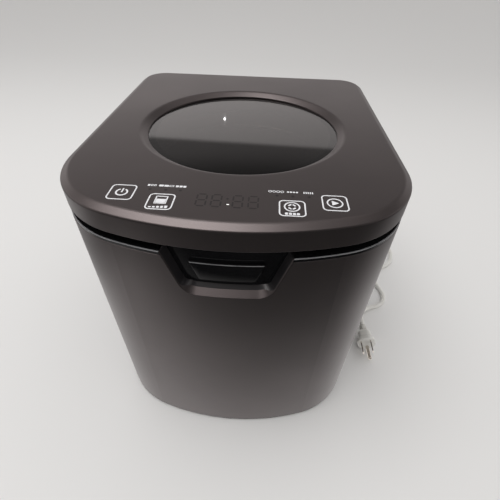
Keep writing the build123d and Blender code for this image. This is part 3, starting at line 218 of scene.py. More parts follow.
tree.links.new(level.outputs[0], tree.nodes["Background"].inputs["Strength"])

# ------------------------
# Outer shell and base. Sheet aluminium, bent to a bowed front with large round corners, under a
# satin brown-grey metallic paint with a slight orange peel. A black plastic plate closes it below.


def surface_character():
    """Node group for a real surface: tone that drifts in patches, uneven gloss, and grain or drawn lines."""
    group = bpy.data.node_groups.new("surface_character", "ShaderNodeTree")
    kinds_in = {"Light": "Color", "Dark": "Color", "Patches": "Float", "Roughness": "Float",
                "Spread": "Float", "Grain": "Float", "Stretch": "Vector"}
    kinds_out = {"Color": "Color", "Roughness": "Float", "Height": "Float"}
    for in_out, kinds in (("INPUT", kinds_in), ("OUTPUT", kinds_out)):
        for name, kind in kinds.items():
            group.interface.new_socket(name, in_out=in_out, socket_type="NodeSocket" + kind)
    given = group.nodes.new("NodeGroupInput").outputs
    result = group.nodes.new("NodeGroupOutput").inputs
    place = group.nodes.new("ShaderNodeTexCoord").outputs["Object"]
    patches = group.nodes.new("ShaderNodeTexNoise")
    patches.inputs["Detail"].default_value = 4
    grain = group.nodes.new("ShaderNodeTexNoise")
    grain.inputs["Detail"].default_value = 2
    stretched = group.nodes.new("ShaderNodeVectorMath")
    stretched.operation = "MULTIPLY"
    share = ramp_between(group, patches.outputs["Fac"], 0.35, 0.65, 0, 1)
    offset = product(group, combine(group, "SUBTRACT", patches.outputs["Fac"], 0.5), given["Spread"])
    for source, socket in (
        (place, stretched.inputs[0]),
        (given["Stretch"], stretched.inputs[1]),
        (place, patches.inputs["Vector"]),
        (stretched.outputs[0], grain.inputs["Vector"]),
        (given["Patches"], patches.inputs["Scale"]),
        (given["Grain"], grain.inputs["Scale"]),
        (mix_colour(group, share, given["Light"], given["Dark"]), result["Color"]),
        (combine(group, "ADD", given["Roughness"], offset), result["Roughness"]),
        (grain.outputs["Fac"], result["Height"]),
    ):
        group.links.new(source, socket)
    return group


character = surface_character()


def dress(material, *names):
    """Gives CAD nodes their finish."""
    for name in names:
        nodes[name].data.materials.clear()
        nodes[name].data.materials.append(material)


def make_finish(name, light, dark, patches, rough, grain, metal=0.0, stretch=(1, 1, 1), on=""):
    """Material with that character, for the CAD nodes named in on.

    Patches are in waves per metre, rough is the roughness and how far it drifts, and grain is in waves per
    metre and micrometres of depth. Grain is drawn out into lines along an axis whose stretch is small.
    """
    material, tree, shader = new_material(name, Metallic=metal)
    look = tree.nodes.new("ShaderNodeGroup")
    look.node_tree = character
    look.name = "character"
    given = {"Light": (*light, 1), "Dark": (*dark, 1), "Patches": patches, "Roughness": rough[0],
             "Spread": rough[1], "Grain": grain[0], "Stretch": stretch}
    for socket, value in given.items():
        look.inputs[socket].default_value = value
    bump = tree.nodes.new("ShaderNodeBump")
    bump.name = "grain"
    bump.inputs["Distance"].default_value = grain[1] / 1e6
    tree.links.new(look.outputs["Color"], shader.inputs["Base Color"])
    tree.links.new(look.outputs["Roughness"], shader.inputs["Roughness"])
    tree.links.new(look.outputs["Height"], bump.inputs["Height"])
    tree.links.new(bump.outputs["Normal"], shader.inputs["Normal"])
    dress(material, *on.split())
    return material


casing_paint = make_finish(
    "casing_paint", (0.106, 0.092, 0.091), (0.099, 0.086, 0.085), patches=14, rough=(0.36, 0.05),
    grain=(900, 20), metal=0.85, on="outer_shell",
)
make_finish(
    "base_plastic", (0.030, 0.030, 0.031), (0.022, 0.022, 0.023), patches=30, rough=(0.55, 0.15),
    grain=(1400, 80), on="base_plate",
)

# ------------------------
# Feet. Four round rubber pads with a hollow underneath and a rounded edge, pressed into shallow
# seats in the base plate.

FOOT_X, FOOT_FRONT, FOOT_BACK = 0.092, -0.092, 0.128
seal_rubber = make_finish(
    "seal_rubber", (0.030, 0.030, 0.030), (0.020, 0.020, 0.021), patches=90, rough=(0.62, 0.12),
    grain=(1800, 60),
)


def turn_profile(bm, profile, steps, centre=(0, 0, 0), closed=False, axis="Z"):
    """Spins a line of (radius, height) points once round an upright axis, then lays it along the axis named."""
    line = [bm.verts.new((radius, 0, height)) for radius, height in profile]
    pairs = list(zip(line, line[1:])) + ([(line[-1], line[0])] if closed else [])
    edges = [bm.edges.new(pair) for pair in pairs]
    before = set(bm.verts) - set(line)
    bmesh.ops.spin(
        bm, geom=line + edges, cent=(0, 0, 0), axis=(0, 0, 1), angle=2 * math.pi, steps=steps, use_merge=True
    )
    made = [vert for vert in bm.verts if vert not in before]
    if axis == "Y":
        bmesh.ops.rotate(bm, cent=(0, 0, 0), matrix=Matrix.Rotation(-math.pi / 2, 3, "X"), verts=made)
    bmesh.ops.translate(bm, vec=centre, verts=made)
    bmesh.ops.remove_doubles(bm, verts=made, dist=0.000001)
    made = [vert for vert in bm.verts if vert not in before]
    bmesh.ops.recalc_face_normals(bm, faces=list({face for vert in made for face in vert.link_faces}))
    return made


def soften(bm, edges, reach, segments=3):
    """Rounds edges over a reach each side of them."""
    corners = list({vert for edge in edges for vert in edge.verts})
    bmesh.ops.bevel(
        bm, geom=edges + corners, offset=reach, offset_type="OFFSET", segments=segments, profile=0.5,
        affect="EDGES", material=-1, loop_slide=True,
    )


def corner_edges(bm, degrees=30):
    """Edges where two faces meet at more than that angle."""
    bm.normal_update()
    return [edge for edge in bm.edges if edge.calc_face_angle(0) > math.radians(degrees)]


def finished_piece(bm, name, material, body, slot, *stands_for, smooth=35):
    """Makes the piece's object, shades it smooth up to that angle, hangs it on its body and hides the CAD nodes
    it stands for.
    """
    mesh = bpy.data.meshes.new(name)
    bm.to_mesh(mesh)
    bm.free()
    for face in mesh.polygons:
        face.use_smooth = True
    mesh.set_sharp_from_angle(angle=math.radians(smooth))
    mesh.materials.append(material)
    piece = into_scene(name, mesh)
    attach(piece, body)
    if stands_for:
        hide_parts(*stands_for)
    return piece


foot_profile = [
    (0, 0.0011), (0.0052, 0.0011), (0.0056, 0), (0.0082, 0), (0.0090, 0.0008), (0.0090, 0.0035), (0, 0.0035)
]
bm = bmesh.new()
for foot_x in (-FOOT_X, FOOT_X):
    for foot_y in (FOOT_FRONT, FOOT_BACK):
        turn_profile(bm, foot_profile, 40, (foot_x, foot_y, 0))
soften(bm, corner_edges(bm), 0.00025, 2)
finished_piece(bm, "feet", seal_rubber, "housing", "rubber", "foot_pads")

# ------------------------
# Casing screws. Zinc-plated pan-head screws with a cross recess and a cut thread, four up through
# the base plate and four down through the deck, into bosses on the shell.

SCREW_PLACES = [(x, y) for x in (-0.133, 0.133) for y in (-0.060, 0.125)]
BASE_FACE, DECK_FACE = 0.0020, 0.2675
PITCH = 0.0011
HEAD_TALL = 0.0015
THREAD_END = 0.003
CROSS_REACH, CROSS_HALF_WIDTH, CROSS_DEPTH = 0.0016, 0.00036, 0.0010
zinc_plate = make_finish(
    "zinc_plate", (0.62, 0.62, 0.60), (0.50, 0.50, 0.49), patches=160, rough=(0.30, 0.18),
    grain=(2500, 20), metal=1,
)


def only(parts, kind):
    """Those of the parts that are of one kind."""
    return [part for part in parts if isinstance(part, kind)]


def inset(bm, faces, width, **more):
    """Sets a smaller outline inside faces, that far in from their edge."""
    bmesh.ops.inset_region(bm, faces=faces, thickness=width, use_even_offset=True, **more)


def cross_head_screw(bm, place, face_height, pointing, shank_length):
    """Adds a screw whose head's outer face is at a height, with its shank pointing up (1) or down (-1)."""
    profile = [(0, 0), (0.0019, 0.00002), (0.0025, 0.00025), (0.0030, 0.0009)]
    profile += [(0.0030, HEAD_TALL), (0.0013, HEAD_TALL)]
    for turn in range(int((shank_length - THREAD_END) / PITCH)):
        start = 0.0021 + PITCH * turn
        profile += [(0.0012, start), (0.0015, start + 0.0004), (0.0012, start + 0.0008)]
    profile += [(0.0009, HEAD_TALL + shank_length - 0.0009), (0, HEAD_TALL + shank_length)]
    others = set(bm.verts)
    made = turn_profile(bm, profile, 24)
    crown = list({face for vert in made for face in vert.link_faces if face.calc_center_median().z < 0.0001})
    inset(bm, crown, 0.0003)
    sunk = bmesh.ops.extrude_face_region(bm, geom=crown)["geom"]
    bmesh.ops.delete(bm, geom=[face for face in crown if face.is_valid], context="FACES")
    recess = set(only(sunk, BMVert))
    rim = {edge.other_vert(vert) for vert in recess for edge in vert.link_edges} - recess
    for vert in recess | rim:  # drawn in to a cross, narrower at the bottom
        reach = vert.co.xy.length
        if reach > 0.0001:
            narrow = max(min(abs(vert.co.x), abs(vert.co.y)) / reach, 0.001)
            vert.co.xy *= min(CROSS_REACH, CROSS_HALF_WIDTH / narrow) / reach * (0.7 if vert in recess else 1)
    bmesh.ops.translate(bm, vec=(0, 0, CROSS_DEPTH), verts=list(recess))
    made = [vert for vert in bm.verts if vert not in others]
    if pointing < 0:
        bmesh.ops.rotate(bm, cent=(0, 0, 0), matrix=Matrix.Rotation(math.pi, 3, "X"), verts=made)
    bmesh.ops.translate(bm, vec=(*place, face_height), verts=made)


for name, face_height, pointing in (("base_screws", BASE_FACE, 1), ("deck_screws", DECK_FACE, -1)):
    bm = bmesh.new()
    for place in SCREW_PLACES:
        cross_head_screw(bm, place, face_height, pointing, shank_length=0.014)
    finished_piece(bm, "cross_head_" + name, zinc_plate, "housing", "steel", name)

# ------------------------
# Heated chamber. A drawn aluminium pot with a turned-out rim stands on four plastic posts. A mica
# heater in a bright steel band grips it low down, and a needled felt wrap keeps the heat in.

make_finish(
    "drawn_aluminium", (0.66, 0.67, 0.68), (0.58, 0.59, 0.60), patches=25, rough=(0.34, 0.12),
    grain=(2600, 30), metal=1, stretch=(0.02, 0.02, 1), on="chamber",
)
make_finish(
    "heater_steel", (0.46, 0.43, 0.40), (0.34, 0.30, 0.27), patches=45, rough=(0.36, 0.2),
    grain=(1800, 20), metal=1, stretch=(1, 1, 0.05), on="heater_band",
)
make_finish(
    "needled_felt", (0.74, 0.72, 0.66), (0.58, 0.56, 0.50), patches=260, rough=(0.97, 0.03),
    grain=(1300, 700), on="insulation",
)
grey_nylon = make_finish(
    "grey_nylon", (0.20, 0.20, 0.21), (0.17, 0.17, 0.18), patches=50, rough=(0.5, 0.12), grain=(1500, 60),
    on="chamber_posts",
)
black_plastic = make_finish(
    "black_plastic", (0.030, 0.030, 0.031), (0.022, 0.022, 0.023), patches=45, rough=(0.5, 0.12),
    grain=(1600, 70), on="temperature_sensor",
)

# ------------------------
# Gear case and motor. A glass-filled nylon case on four pillars holds a steel wheel and a brass
# pinion, with sintered bronze bushes. The motor is a rolled steel can, clamped below the case.

CASE_TOP = 0.0595
make_finish(
    "filled_nylon", (0.11, 0.115, 0.12), (0.07, 0.075, 0.08), patches=220, rough=(0.58, 0.2),
    grain=(1200, 100), on="gear_case gear_cover case_pillars",
)
cut_steel = make_finish(
    "cut_steel", (0.58, 0.58, 0.57), (0.47, 0.47, 0.47), patches=90, rough=(0.28, 0.2), grain=(3000, 20),
    metal=1, stretch=(1, 1, 0.03), on="output_wheel output_shaft drive_socket",
)
make_finish(
    "motor_can", (0.55, 0.56, 0.58), (0.46, 0.47, 0.49), patches=70, rough=(0.36, 0.15), grain=(2600, 20),
    metal=1, stretch=(0.03, 0.03, 1), on="motor",
)
make_finish(
    "pinion_brass", (0.74, 0.56, 0.28), (0.60, 0.42, 0.18), patches=200, rough=(0.28, 0.15),
    grain=(3000, 20), metal=1, on="motor_pinion",
)
make_finish(
    "sintered_bronze", (0.50, 0.33, 0.16), (0.34, 0.21, 0.09), patches=700, rough=(0.5, 0.25),
    grain=(2500, 60), metal=0.9, on="shaft_bushes",
)
bm = bmesh.new()
for place in [(x, y) for x in (-0.042, 0.042) for y in (-0.036, 0.036)]:
    cross_head_screw(bm, place, CASE_TOP, -1, shank_length=0.023)
finished_piece(bm, "cross_head_case_screws", zinc_plate, "housing", "steel", "case_screws")

# ------------------------
# Power board. A green glass-epoxy board with bare tinned tracks, screwed flat to a black carrier
# behind the front of the casing. Its transformer, relay, heat sink and capacitors face forward.


def cell_pattern(tree, size, feature="F1"):
    """Voronoi cells, that many in a metre."""
    cells = tree.nodes.new("ShaderNodeTexVoronoi")
    cells.feature = feature
    cells.inputs["Scale"].default_value = size
    tree.links.new(tree.nodes.new("ShaderNodeTexCoord").outputs["Object"], cells.inputs["Vector"])
    return cells


def recolour(material, share, first, second):
    """Gives a finish a colour mixed from two."""
    tree = material.node_tree
    tree.links.new(mix_colour(tree, share, first, second), tree.nodes["Principled BSDF"].inputs["Base Color"])


def board_finish(name, mask_light, mask_dark, track, pitch):
    """Solder mask over etched tracks, which show as lighter lines with a slight step."""
    material = make_finish(name, mask_light, mask_dark, patches=160, rough=(0.36, 0.1), grain=(1200, 40))
    tree = material.node_tree
    tracks = cell_pattern(tree, pitch, "DISTANCE_TO_EDGE")
    tracks.inputs["Randomness"].default_value = 0.75
    line = ramp_between(tree, tracks.outputs["Distance"], 0.05, 0.08, 1, 0)
    recolour(material, line, tree.nodes["character"].outputs["Color"], track)
    tree.links.new(product(tree, line, 0.5), tree.nodes["grain"].inputs["Height"])
    return material


green_board = board_finish(
    "green_board", (0.02, 0.15, 0.07), (0.015, 0.11, 0.05), track=(0.05, 0.30, 0.14), pitch=170
)
dress(green_board, "power_board")
dress(black_plastic, "board_carrier", "board_parts")

# ------------------------
# Exhaust fan. A standard square black fan, clipped behind the vents, with a seven-blade rotor on
# a hub that covers its motor.

make_finish(
    "fan_resin", (0.022, 0.022, 0.024), (0.016, 0.016, 0.017), patches=60, rough=(0.42, 0.15),
    grain=(1500, 50), on="fan_frame fan_rotor",
)

# ------------------------
# Air duct and filter drawer. A black duct leads the air down to a drawer that slides in a frame
# behind the back panel. Its front is painted like the casing, and it holds a carbon-cloth filter.

PAINTED_BEHIND = 0.1621  # the drawer is bare black plastic in front of this


def painted_front(name):
    """Casing paint on what lies at the very back of the appliance, and bare black plastic inside."""
    material = make_finish(
        name, (0.105, 0.091, 0.089), (0.098, 0.085, 0.084), patches=14, rough=(0.38, 0.05), grain=(900, 20)
    )
    tree = material.node_tree
    outside = combine(tree, "GREATER_THAN", axes_of(tree)["Y"], PAINTED_BEHIND)
    recolour(material, outside, (0.028, 0.028, 0.029), tree.nodes["character"].outputs["Color"])
    tree.links.new(product(tree, outside, 0.85), tree.nodes["Principled BSDF"].inputs["Metallic"])
    return material


def cloth_finish(name, light, dark, threads, depth):
    """Plain weave of that many threads a metre: two sets of ridges that cross."""
    material = make_finish(name, light, dark, patches=300, rough=(0.9, 0.1), grain=(900, depth))
    tree = material.node_tree
    axes = axes_of(tree)
    ridges = [
        combine(tree, "ABSOLUTE", combine(tree, "SINE", product(tree, axes[way], math.pi * threads)))
        for way in "XZ"
    ]
    weave = product(tree, combine(tree, "ADD", *ridges), 0.5)
    tree.links.new(weave, tree.nodes["grain"].inputs["Height"])
    return material


drawer_paint = painted_front("drawer_paint")
carbon_cloth = cloth_finish("carbon_cloth", (0.045, 0.045, 0.046), (0.018, 0.018, 0.018), threads=420, depth=500)
dress(black_plastic, "air_duct", "drawer_frame")
dress(drawer_paint, "filter_drawer")
dress(carbon_cloth, "carbon_filter")

# ------------------------
# Deck and hinge. A glossy black moulded deck closes the casing under the lid, with a rounded rim
# that shows in the gap. The lid turns on steel pins through black knuckles at the back.

black_gloss = make_finish(
    "black_gloss", (0.0050, 0.0050, 0.0055), (0.0038, 0.0038, 0.0042), patches=20, rough=(0.08, 0.04),
    grain=(400, 10), on="top_deck latch_bezel release_button",
)
dress(black_plastic, "lid_knuckles", "body_knuckles")
dress(cut_steel, "hinge_pins")

# ------------------------
# Lid catch. A glossy black panel in a recess of the casing, with a painted sill that slopes out
# below it. The black button in it has a softened edge, and works a sprung bolt behind.

FRONT_CENTRE, FRONT_RADIUS = 0.110, 0.275  # bow of the casing's front
RECESS_HALF, RECESS_FOOT, RECESS_TOP = 0.033, 0.2273, 0.26725
RECESS_LEAN, RECESS_CORNER = math.radians(19.5), 0.014
LINING_GAP, LINING_DEPTH = 0.00005, 0.0079
satin_black = make_finish(
    "satin_black", (0.012, 0.011, 0.012), (0.009, 0.008, 0.009), patches=60, rough=(0.34, 0.08),
    grain=(900, 20),
)
# Pale half-metallic finish for thin strips on sharp top edges: a painted highlight for the light those edges
# catch.
highlight_line = make_finish(
    "highlight_line", (0.34, 0.34, 0.35), (0.26, 0.26, 0.27), patches=90, rough=(0.34, 0.1),
    grain=(1200, 10), metal=0.4,
)
make_finish(
    "spring_steel", (0.50, 0.50, 0.50), (0.40, 0.40, 0.41), patches=200, rough=(0.26, 0.1),
    grain=(3000, 10), metal=1, on="button_spring",
)


def thicken(bm, way):
    """Makes flat faces solid by moving a copy of them that way."""
    grown = bmesh.ops.extrude_face_region(bm, geom=bm.faces[:])["geom"]
    bmesh.ops.translate(bm, vec=way, verts=only(grown, BMVert))
    bmesh.ops.recalc_face_normals(bm, faces=bm.faces)


def round_corners(bm, verts, reach, segments):
    """Rounds the corners of a flat face."""
    return bmesh.ops.bevel(
        bm, geom=verts, offset=reach, offset_type="OFFSET", segments=segments, profile=0.5, affect="VERTICES",
        material=-1,
    )


def slice_across(bm, x):
    """Cuts faces in two at a distance from the middle."""
    bmesh.ops.bisect_plane(
        bm, geom=bm.verts[:] + bm.edges[:] + bm.faces[:], dist=1e-7, plane_co=(x, 0, 0), plane_no=(1, 0, 0)
    )


def front_plate(bm, bottom_half, top_half, bottom, top, corner, thickness):
    """Adds a plate at y = 0 that tapers downwards and is rounded at its lower corners."""
    corners = [(-bottom_half, bottom), (bottom_half, bottom), (top_half, top), (-top_half, top)]
    verts = [bm.verts.new((x, 0, z)) for x, z in corners]
    bmesh.ops.contextual_create(bm, geom=verts)
    round_corners(bm, verts[:2], corner, 8)
    for step in range(-9, 10):  # so that it can be bowed
        slice_across(bm, 0.004 * step)
    thicken(bm, (0, thickness, 0))


def bow(bm, set_back):
    """Bends a plate made at y = 0 to the bow of the casing's front, set back from it."""
    for vert in bm.verts:
        vert.co.y += FRONT_CENTRE - math.sqrt((FRONT_RADIUS - set_back) ** 2 - vert.co.x ** 2)


def recess_path():
    """Places along the edge of the recess: x, z, the way inwards, and how far round to the sill it is."""
    bend_x = RECESS_HALF - RECESS_CORNER * (1 - math.sin(RECESS_LEAN)) / math.cos(RECESS_LEAN) - 0.0002
    bend_z = RECESS_FOOT + RECESS_CORNER
    side_x = bend_x + RECESS_CORNER * math.cos(RECESS_LEAN)
    side_z = bend_z - RECESS_CORNER * math.sin(RECESS_LEAN)
    path = []
    for step in range(15):  # down the right side
        rise = (RECESS_TOP - side_z) * (1 - step / 15)
        path.append((side_x + rise * math.tan(RECESS_LEAN), side_z + rise, RECESS_LEAN, 0.0))
    for step in range(13):  # round the lower right corner
        angle = RECESS_LEAN + (math.pi / 2 - RECESS_LEAN) * step / 12
        share = min(1, step / 8)
        x, z = bend_x + RECESS_CORNER * math.cos(angle), bend_z - RECESS_CORNER * math.sin(angle)
        path.append((x, z, angle, share * share * (3 - 2 * share)))
    for step in range(1, 9):  # half of the sill
        path.append((bend_x * (1 - step / 8), RECESS_FOOT, math.pi / 2, 1.0))
    return path + [(-x, z, math.pi - angle, share) for x, z, angle, share in path[-2::-1]]


def recess_lining(bm, section):
    """Adds a closed lining round the recess; section gives (inward, depth) corners for each place."""
    rings = []
    for x, z, angle, share in recess_path():
        way = Vector((-math.cos(angle), 0, math.sin(angle)))
        rings.append([bm.verts.new(Vector((x, depth, z)) + way * inward) for inward, depth in section(share)])
    for first, second in zip(rings, rings[1:]):
        for corner, start in enumerate(first):
            following = (corner + 1) % len(first)
            bmesh.ops.contextual_create(bm, geom=[start, first[following], second[following], second[corner]])
    for ring in (rings[0], rings[-1]):
        bmesh.ops.contextual_create(bm, geom=ring)
    bmesh.ops.recalc_face_normals(bm, faces=bm.faces)


def sill_section(share):
    """Sloping painted edge, narrow at the sides (share 0) and broad at the sill (share 1)."""
    inward, depth = 0.0006 + 0.0036 * share, 0.0008 + 0.0042 * share
    return [(LINING_GAP, 0.0), (inward, depth), (LINING_GAP, depth)]


def wall_section(share):
    """Black wall that goes on from the sloping edge to the panel behind."""
    inward, depth = sill_section(share)[1]
    front = depth + 0.00002
    return [(LINING_GAP, front), (inward, front), (inward + 0.0028, LINING_DEPTH), (LINING_GAP, LINING_DEPTH)]


for name, material, slot, section in (("catch_sill", casing_paint, "dark_paint", sill_section),
                                      ("catch_walls", satin_black, "black_gloss", wall_section)):
    bm = bmesh.new()
    recess_lining(bm, section)
    bow(bm, set_back=0.0001)
    finished_piece(bm, name, material, "housing", slot, smooth=40)

bm = bmesh.new()
front_plate(
    bm, bottom_half=0.02155, top_half=0.02770, bottom=0.23945, top=0.25705, corner=0.0021, thickness=0.0020
)
front_edges = [edge for edge in corner_edges(bm, 50) if all(vert.co.y < 0.0001 for vert in edge.verts)]
soften(bm, front_edges, 0.0009, 4)
bow(bm, set_back=0.0051)
finished_piece(bm, "button_face", black_gloss, "release_button", "black_gloss", smooth=40)

# A thin pale strip along the button's top edge: a painted highlight for the light that this edge catches.
bm = bmesh.new()
front_plate(
    bm, bottom_half=0.0268, top_half=0.0270, bottom=0.25655, top=0.25700, corner=0.0002, thickness=0.0006
)
soften(bm, corner_edges(bm, 50), 0.0001, 2)
bow(bm, set_back=0.0049)
finished_piece(bm, "button_highlight", highlight_line, "release_button", "aluminium", smooth=40)

dress(black_plastic, "button_slide", "latch_guide")
dress(grey_nylon, "latch_bolt")

# ------------------------
# Bucket and stirrer. The lift-out bucket is drawn aluminium with a dark non-stick coat and a wire
# bail. A bush in its floor carries the cast stirrer, which a hexagon socket drives from below.


def speckled_coat(name, coat, speckle, size):
    """Dark baked coat with fine pale specks in it."""
    darker = tuple(0.85 * tone for tone in coat)
    material = make_finish(name, coat, darker, patches=40, rough=(0.34, 0.1), grain=(1200, 40))
    tree = material.node_tree
    specks = ramp_between(tree, cell_pattern(tree, size).outputs["Distance"], 0.14, 0.22, 0.8, 0)
    recolour(material, specks, tree.nodes["character"].outputs["Color"], speckle)
    return material


bucket_coat = speckled_coat("bucket_coat", (0.040, 0.040, 0.042), (0.22, 0.22, 0.22), 420)
bail_steel = make_finish(
    "bail_steel", (0.60, 0.60, 0.60), (0.52, 0.52, 0.52), patches=60, rough=(0.25, 0.1), grain=(2400, 10),
    metal=1, on="bucket_handle",
)
make_finish(
    "cast_alloy", (0.48, 0.48, 0.49), (0.38, 0.38, 0.39), patches=120, rough=(0.45, 0.15),
    grain=(900, 120), metal=0.95, on="stirring_blade",
)
dress(bucket_coat, "bucket")
dress(grey_nylon, "bucket_bush")

# ------------------------
# Lid underside. A black moulded liner closes the lid, with six screws, a two-lipped silicone
# gasket that presses on the bucket's rim, and a folded steel keeper that the bolt holds.

LID_BOTTOM = 0.2745
LID_BOSSES = [(side * x, y) for side in (1, -1) for x, y in ((0.105, -0.120), (0.127, 0.020), (0.095, 0.150))]
make_finish(
    "silicone", (0.055, 0.055, 0.056), (0.045, 0.045, 0.046), patches=80, rough=(0.5, 0.1),
    grain=(1500, 50), on="lid_gasket",
)
dress(black_plastic, "lid_liner")
dress(bail_steel, "lid_keeper")
bm = bmesh.new()
for place in LID_BOSSES:
    cross_head_screw(bm, place, LID_BOTTOM, 1, shank_length=0.009)
finished_piece(bm, "cross_head_liner_screws", zinc_plate, "lid", "steel", "liner_screws")

# ------------------------
# Control board. A black board with four digits and four touch pads stands on posts of the liner,
# just under the painted skin, through which it is worked and read.

black_board = board_finish(
    "black_board", (0.012, 0.014, 0.016), (0.009, 0.010, 0.012), track=(0.030, 0.034, 0.038), pitch=220
)
make_finish(
    "conductive_sponge", (0.025, 0.025, 0.026), (0.015, 0.015, 0.016), patches=900, rough=(0.9, 0.05),
    grain=(1500, 300), on="touch_pads",
)
dress(black_board, "display_board")
dress(black_plastic, "display_module")

# ------------------------
# Window. A round pane of smoked tempered glass with a mirror-like face, pressed down on a rubber
# seal in the lid's round well.

smoked_glass = new_material(
    "smoked_glass", Base_Color=(0.12, 0.11, 0.10, 1), Roughness=0.03, Transmission_Weight=1, IOR=1.52,
    Coat_Weight=0.25,
)[0]
dress(smoked_glass, "window_glass")
dress(seal_rubber, "window_seal")

# ------------------------
# Trim line. A thin lip round the top edge of the casing, just under the gap, cut away in
# front where the catch has its recess. Its pale, half-metallic colour is a painted highlight for the
# light that this edge catches.

SIDE_HALF, BACK = 0.140, 0.165
BACK_CORNER, FRONT_CORNER = (0.112, 0.137), (0.060, -0.07554)  # middles of the round corners
TRIM_FOOT, TRIM_TALL, TRIM_WIDE = 0.2668, 0.0006, 0.0009
TRIM_OPEN = 0.0470


def casing_outline(bm, inset, height):
    """Closed ring of edges in the plan of the casing, set in from its side, at a height."""
    (back_x, back_y), (front_x, front_y) = BACK_CORNER, FRONT_CORNER
    start = bm.verts.new((-back_x, BACK - inset, height))
    tip = start
    before = set(bm.edges)
    for move in (
        (back_x, BACK - inset),
        ((back_x, back_y), -90, 12),
        (SIDE_HALF - inset, front_y),
        ((front_x, front_y), -72.08, 18),
        ((0, FRONT_CENTRE), -35.84, 20),
        ((-front_x, front_y), -72.08, 18),
        (inset - SIDE_HALF, back_y),
        ((-back_x, back_y), -90, 12),
    ):
        if len(move) == 2:  # straight run
            run_start = tip.co.copy()
            for step in range(1, 25):
                tip = bmesh.ops.extrude_vert_indiv(bm, verts=[tip])["verts"][0]
                tip.co = run_start.lerp(Vector((*move, height)), step / 24)
        else:
            centre, sweep, steps = move
            turned = bmesh.ops.spin(
                bm, geom=[tip], cent=(*centre, height), axis=(0, 0, 1), angle=math.radians(sweep), steps=steps
            )
            tip = only(turned["geom_last"], BMVert)[0]
    bmesh.ops.weld_verts(bm, targetmap={tip: start})
    return [edge for edge in bm.edges if edge not in before]


bm = bmesh.new()
trim_edge = casing_outline(bm, 0.00015, TRIM_FOOT)
inner_face = bmesh.ops.contextual_create(bm, geom=trim_edge)["faces"][0]
inset(bm, [inner_face], TRIM_WIDE, use_boundary=True)
bmesh.ops.delete(bm, geom=[inner_face], context="FACES_ONLY")
for side in (-1, 1):
    slice_across(bm, side * TRIM_OPEN)
middles = [(face, face.calc_center_median()) for face in bm.faces]
over_catch = [face for face, middle in middles if abs(middle.x) < TRIM_OPEN and middle.y < 0]
bmesh.ops.delete(bm, geom=over_catch, context="FACES")
thicken(bm, (0, 0, TRIM_TALL))
finished_piece(bm, "seam_highlight", highlight_line, "housing", "aluminium")

# ------------------------
# Lid cover. The same painted sheet as the body, with a soft bevel round its top and a sloping
# round well for the window. Its rim is turned in at the bottom, and a black liner closes it.

SHOULDER, LID_TOP, SKIN = 0.29135, 0.29495, 0.291  # foot of the bevel, flat top, and its underside
BEVEL_WIDE = 0.006
RIM_WIDE = 0.0025
PANE_FACE, SEAT_FACE, WELL_FOOT = 0.2908, 0.2894, 0.284
MOUTH_RADIUS, SEAT_RADIUS, WELL_RADIUS = 0.0916, 0.0955, 0.098
FORWARD = 0.0011  # how far the mouth's middle lies in front of the well's


def round_step(bm, ring, radius, height, forward=0.0):
    """Carries a surface on from a ring of edges to a circle, whose middle may lie forward of the axis."""
    added = bmesh.ops.extrude_edge_only(bm, edges=ring)["geom"]
    corners = set(only(added, BMVert))
    for corner in corners:
        corner.co = (*(corner.co.xy.normalized() * radius - Vector((0, forward))), height)
    return [edge for edge in only(added, BMEdge) if set(edge.verts) <= corners]


def raised_copy(bm, face):
    """Extrudes a face; returns the new one, still in the old one's place."""
    return only(bmesh.ops.extrude_face_region(bm, geom=[face])["geom"], BMFace)[0]


bm = bmesh.new()
underside = bmesh.ops.contextual_create(bm, geom=casing_outline(bm, 0, LID_BOTTOM))["faces"][0]
top_face = raised_copy(bm, underside)
bmesh.ops.translate(bm, vec=(0, 0, SHOULDER - LID_BOTTOM), verts=top_face.verts)
shoulder = list(top_face.edges)
bm.normal_update()
inset(bm, [top_face], BEVEL_WIDE, depth=LID_TOP - SHOULDER)
bevel_top = list(top_face.edges)
inset(bm, [top_face], 0.004)
ring = list(top_face.edges)
rim_bottom = list(underside.edges)
inset(bm, [underside], RIM_WIDE)
lifted = raised_copy(bm, underside)
bmesh.ops.delete(bm, geom=[underside], context="FACES_ONLY")
bmesh.ops.translate(bm, vec=(0, 0, SKIN - LID_BOTTOM), verts=lifted.verts)
inset(bm, [lifted], 0.0075)
skin_edge = list(lifted.edges)
bmesh.ops.delete(bm, geom=[top_face, lifted], context="FACES_ONLY")
rings = {}
for name, radius, height, forward in (
    ("flat_end", 0.1016, LID_TOP, FORWARD),
    ("slope_top", 0.0979, LID_TOP, FORWARD),
    ("slope_foot", MOUTH_RADIUS, PANE_FACE, FORWARD),
    ("lip_foot", MOUTH_RADIUS, SEAT_FACE, FORWARD),
    ("seat", SEAT_RADIUS, SEAT_FACE, 0),
    ("well_inner", SEAT_RADIUS, WELL_FOOT, 0),
    ("well_outer", WELL_RADIUS, WELL_FOOT, 0),
    ("well_top", WELL_RADIUS, SKIN, 0),
):
    ring = rings[name] = round_step(bm, ring, radius, height, forward)
round_step(bm, skin_edge, WELL_RADIUS, SKIN)
bmesh.ops.remove_doubles(bm, verts=bm.verts, dist=0.00001)
for edges, reach, segments in (
    (rim_bottom, 0.0006, 2),
    (shoulder, 0.0012, 4),
    (bevel_top, 0.0012, 4),
    (rings["slope_top"], 0.0016, 4),
    (rings["slope_foot"], 0.0003, 2),
):
    soften(bm, edges, reach, segments)
bmesh.ops.recalc_face_normals(bm, faces=bm.faces)
boss = [(0.0016, 0.2765), (0.0040, 0.2765), (0.0040, SKIN), (0.0016, SKIN)]
for place in LID_BOSSES:
    turn_profile(bm, boss, 24, (*place, 0), closed=True)
lid_cover = finished_piece(bm, "lid_cover", casing_paint, "lid", "dark_paint", "lid_shell", smooth=50)
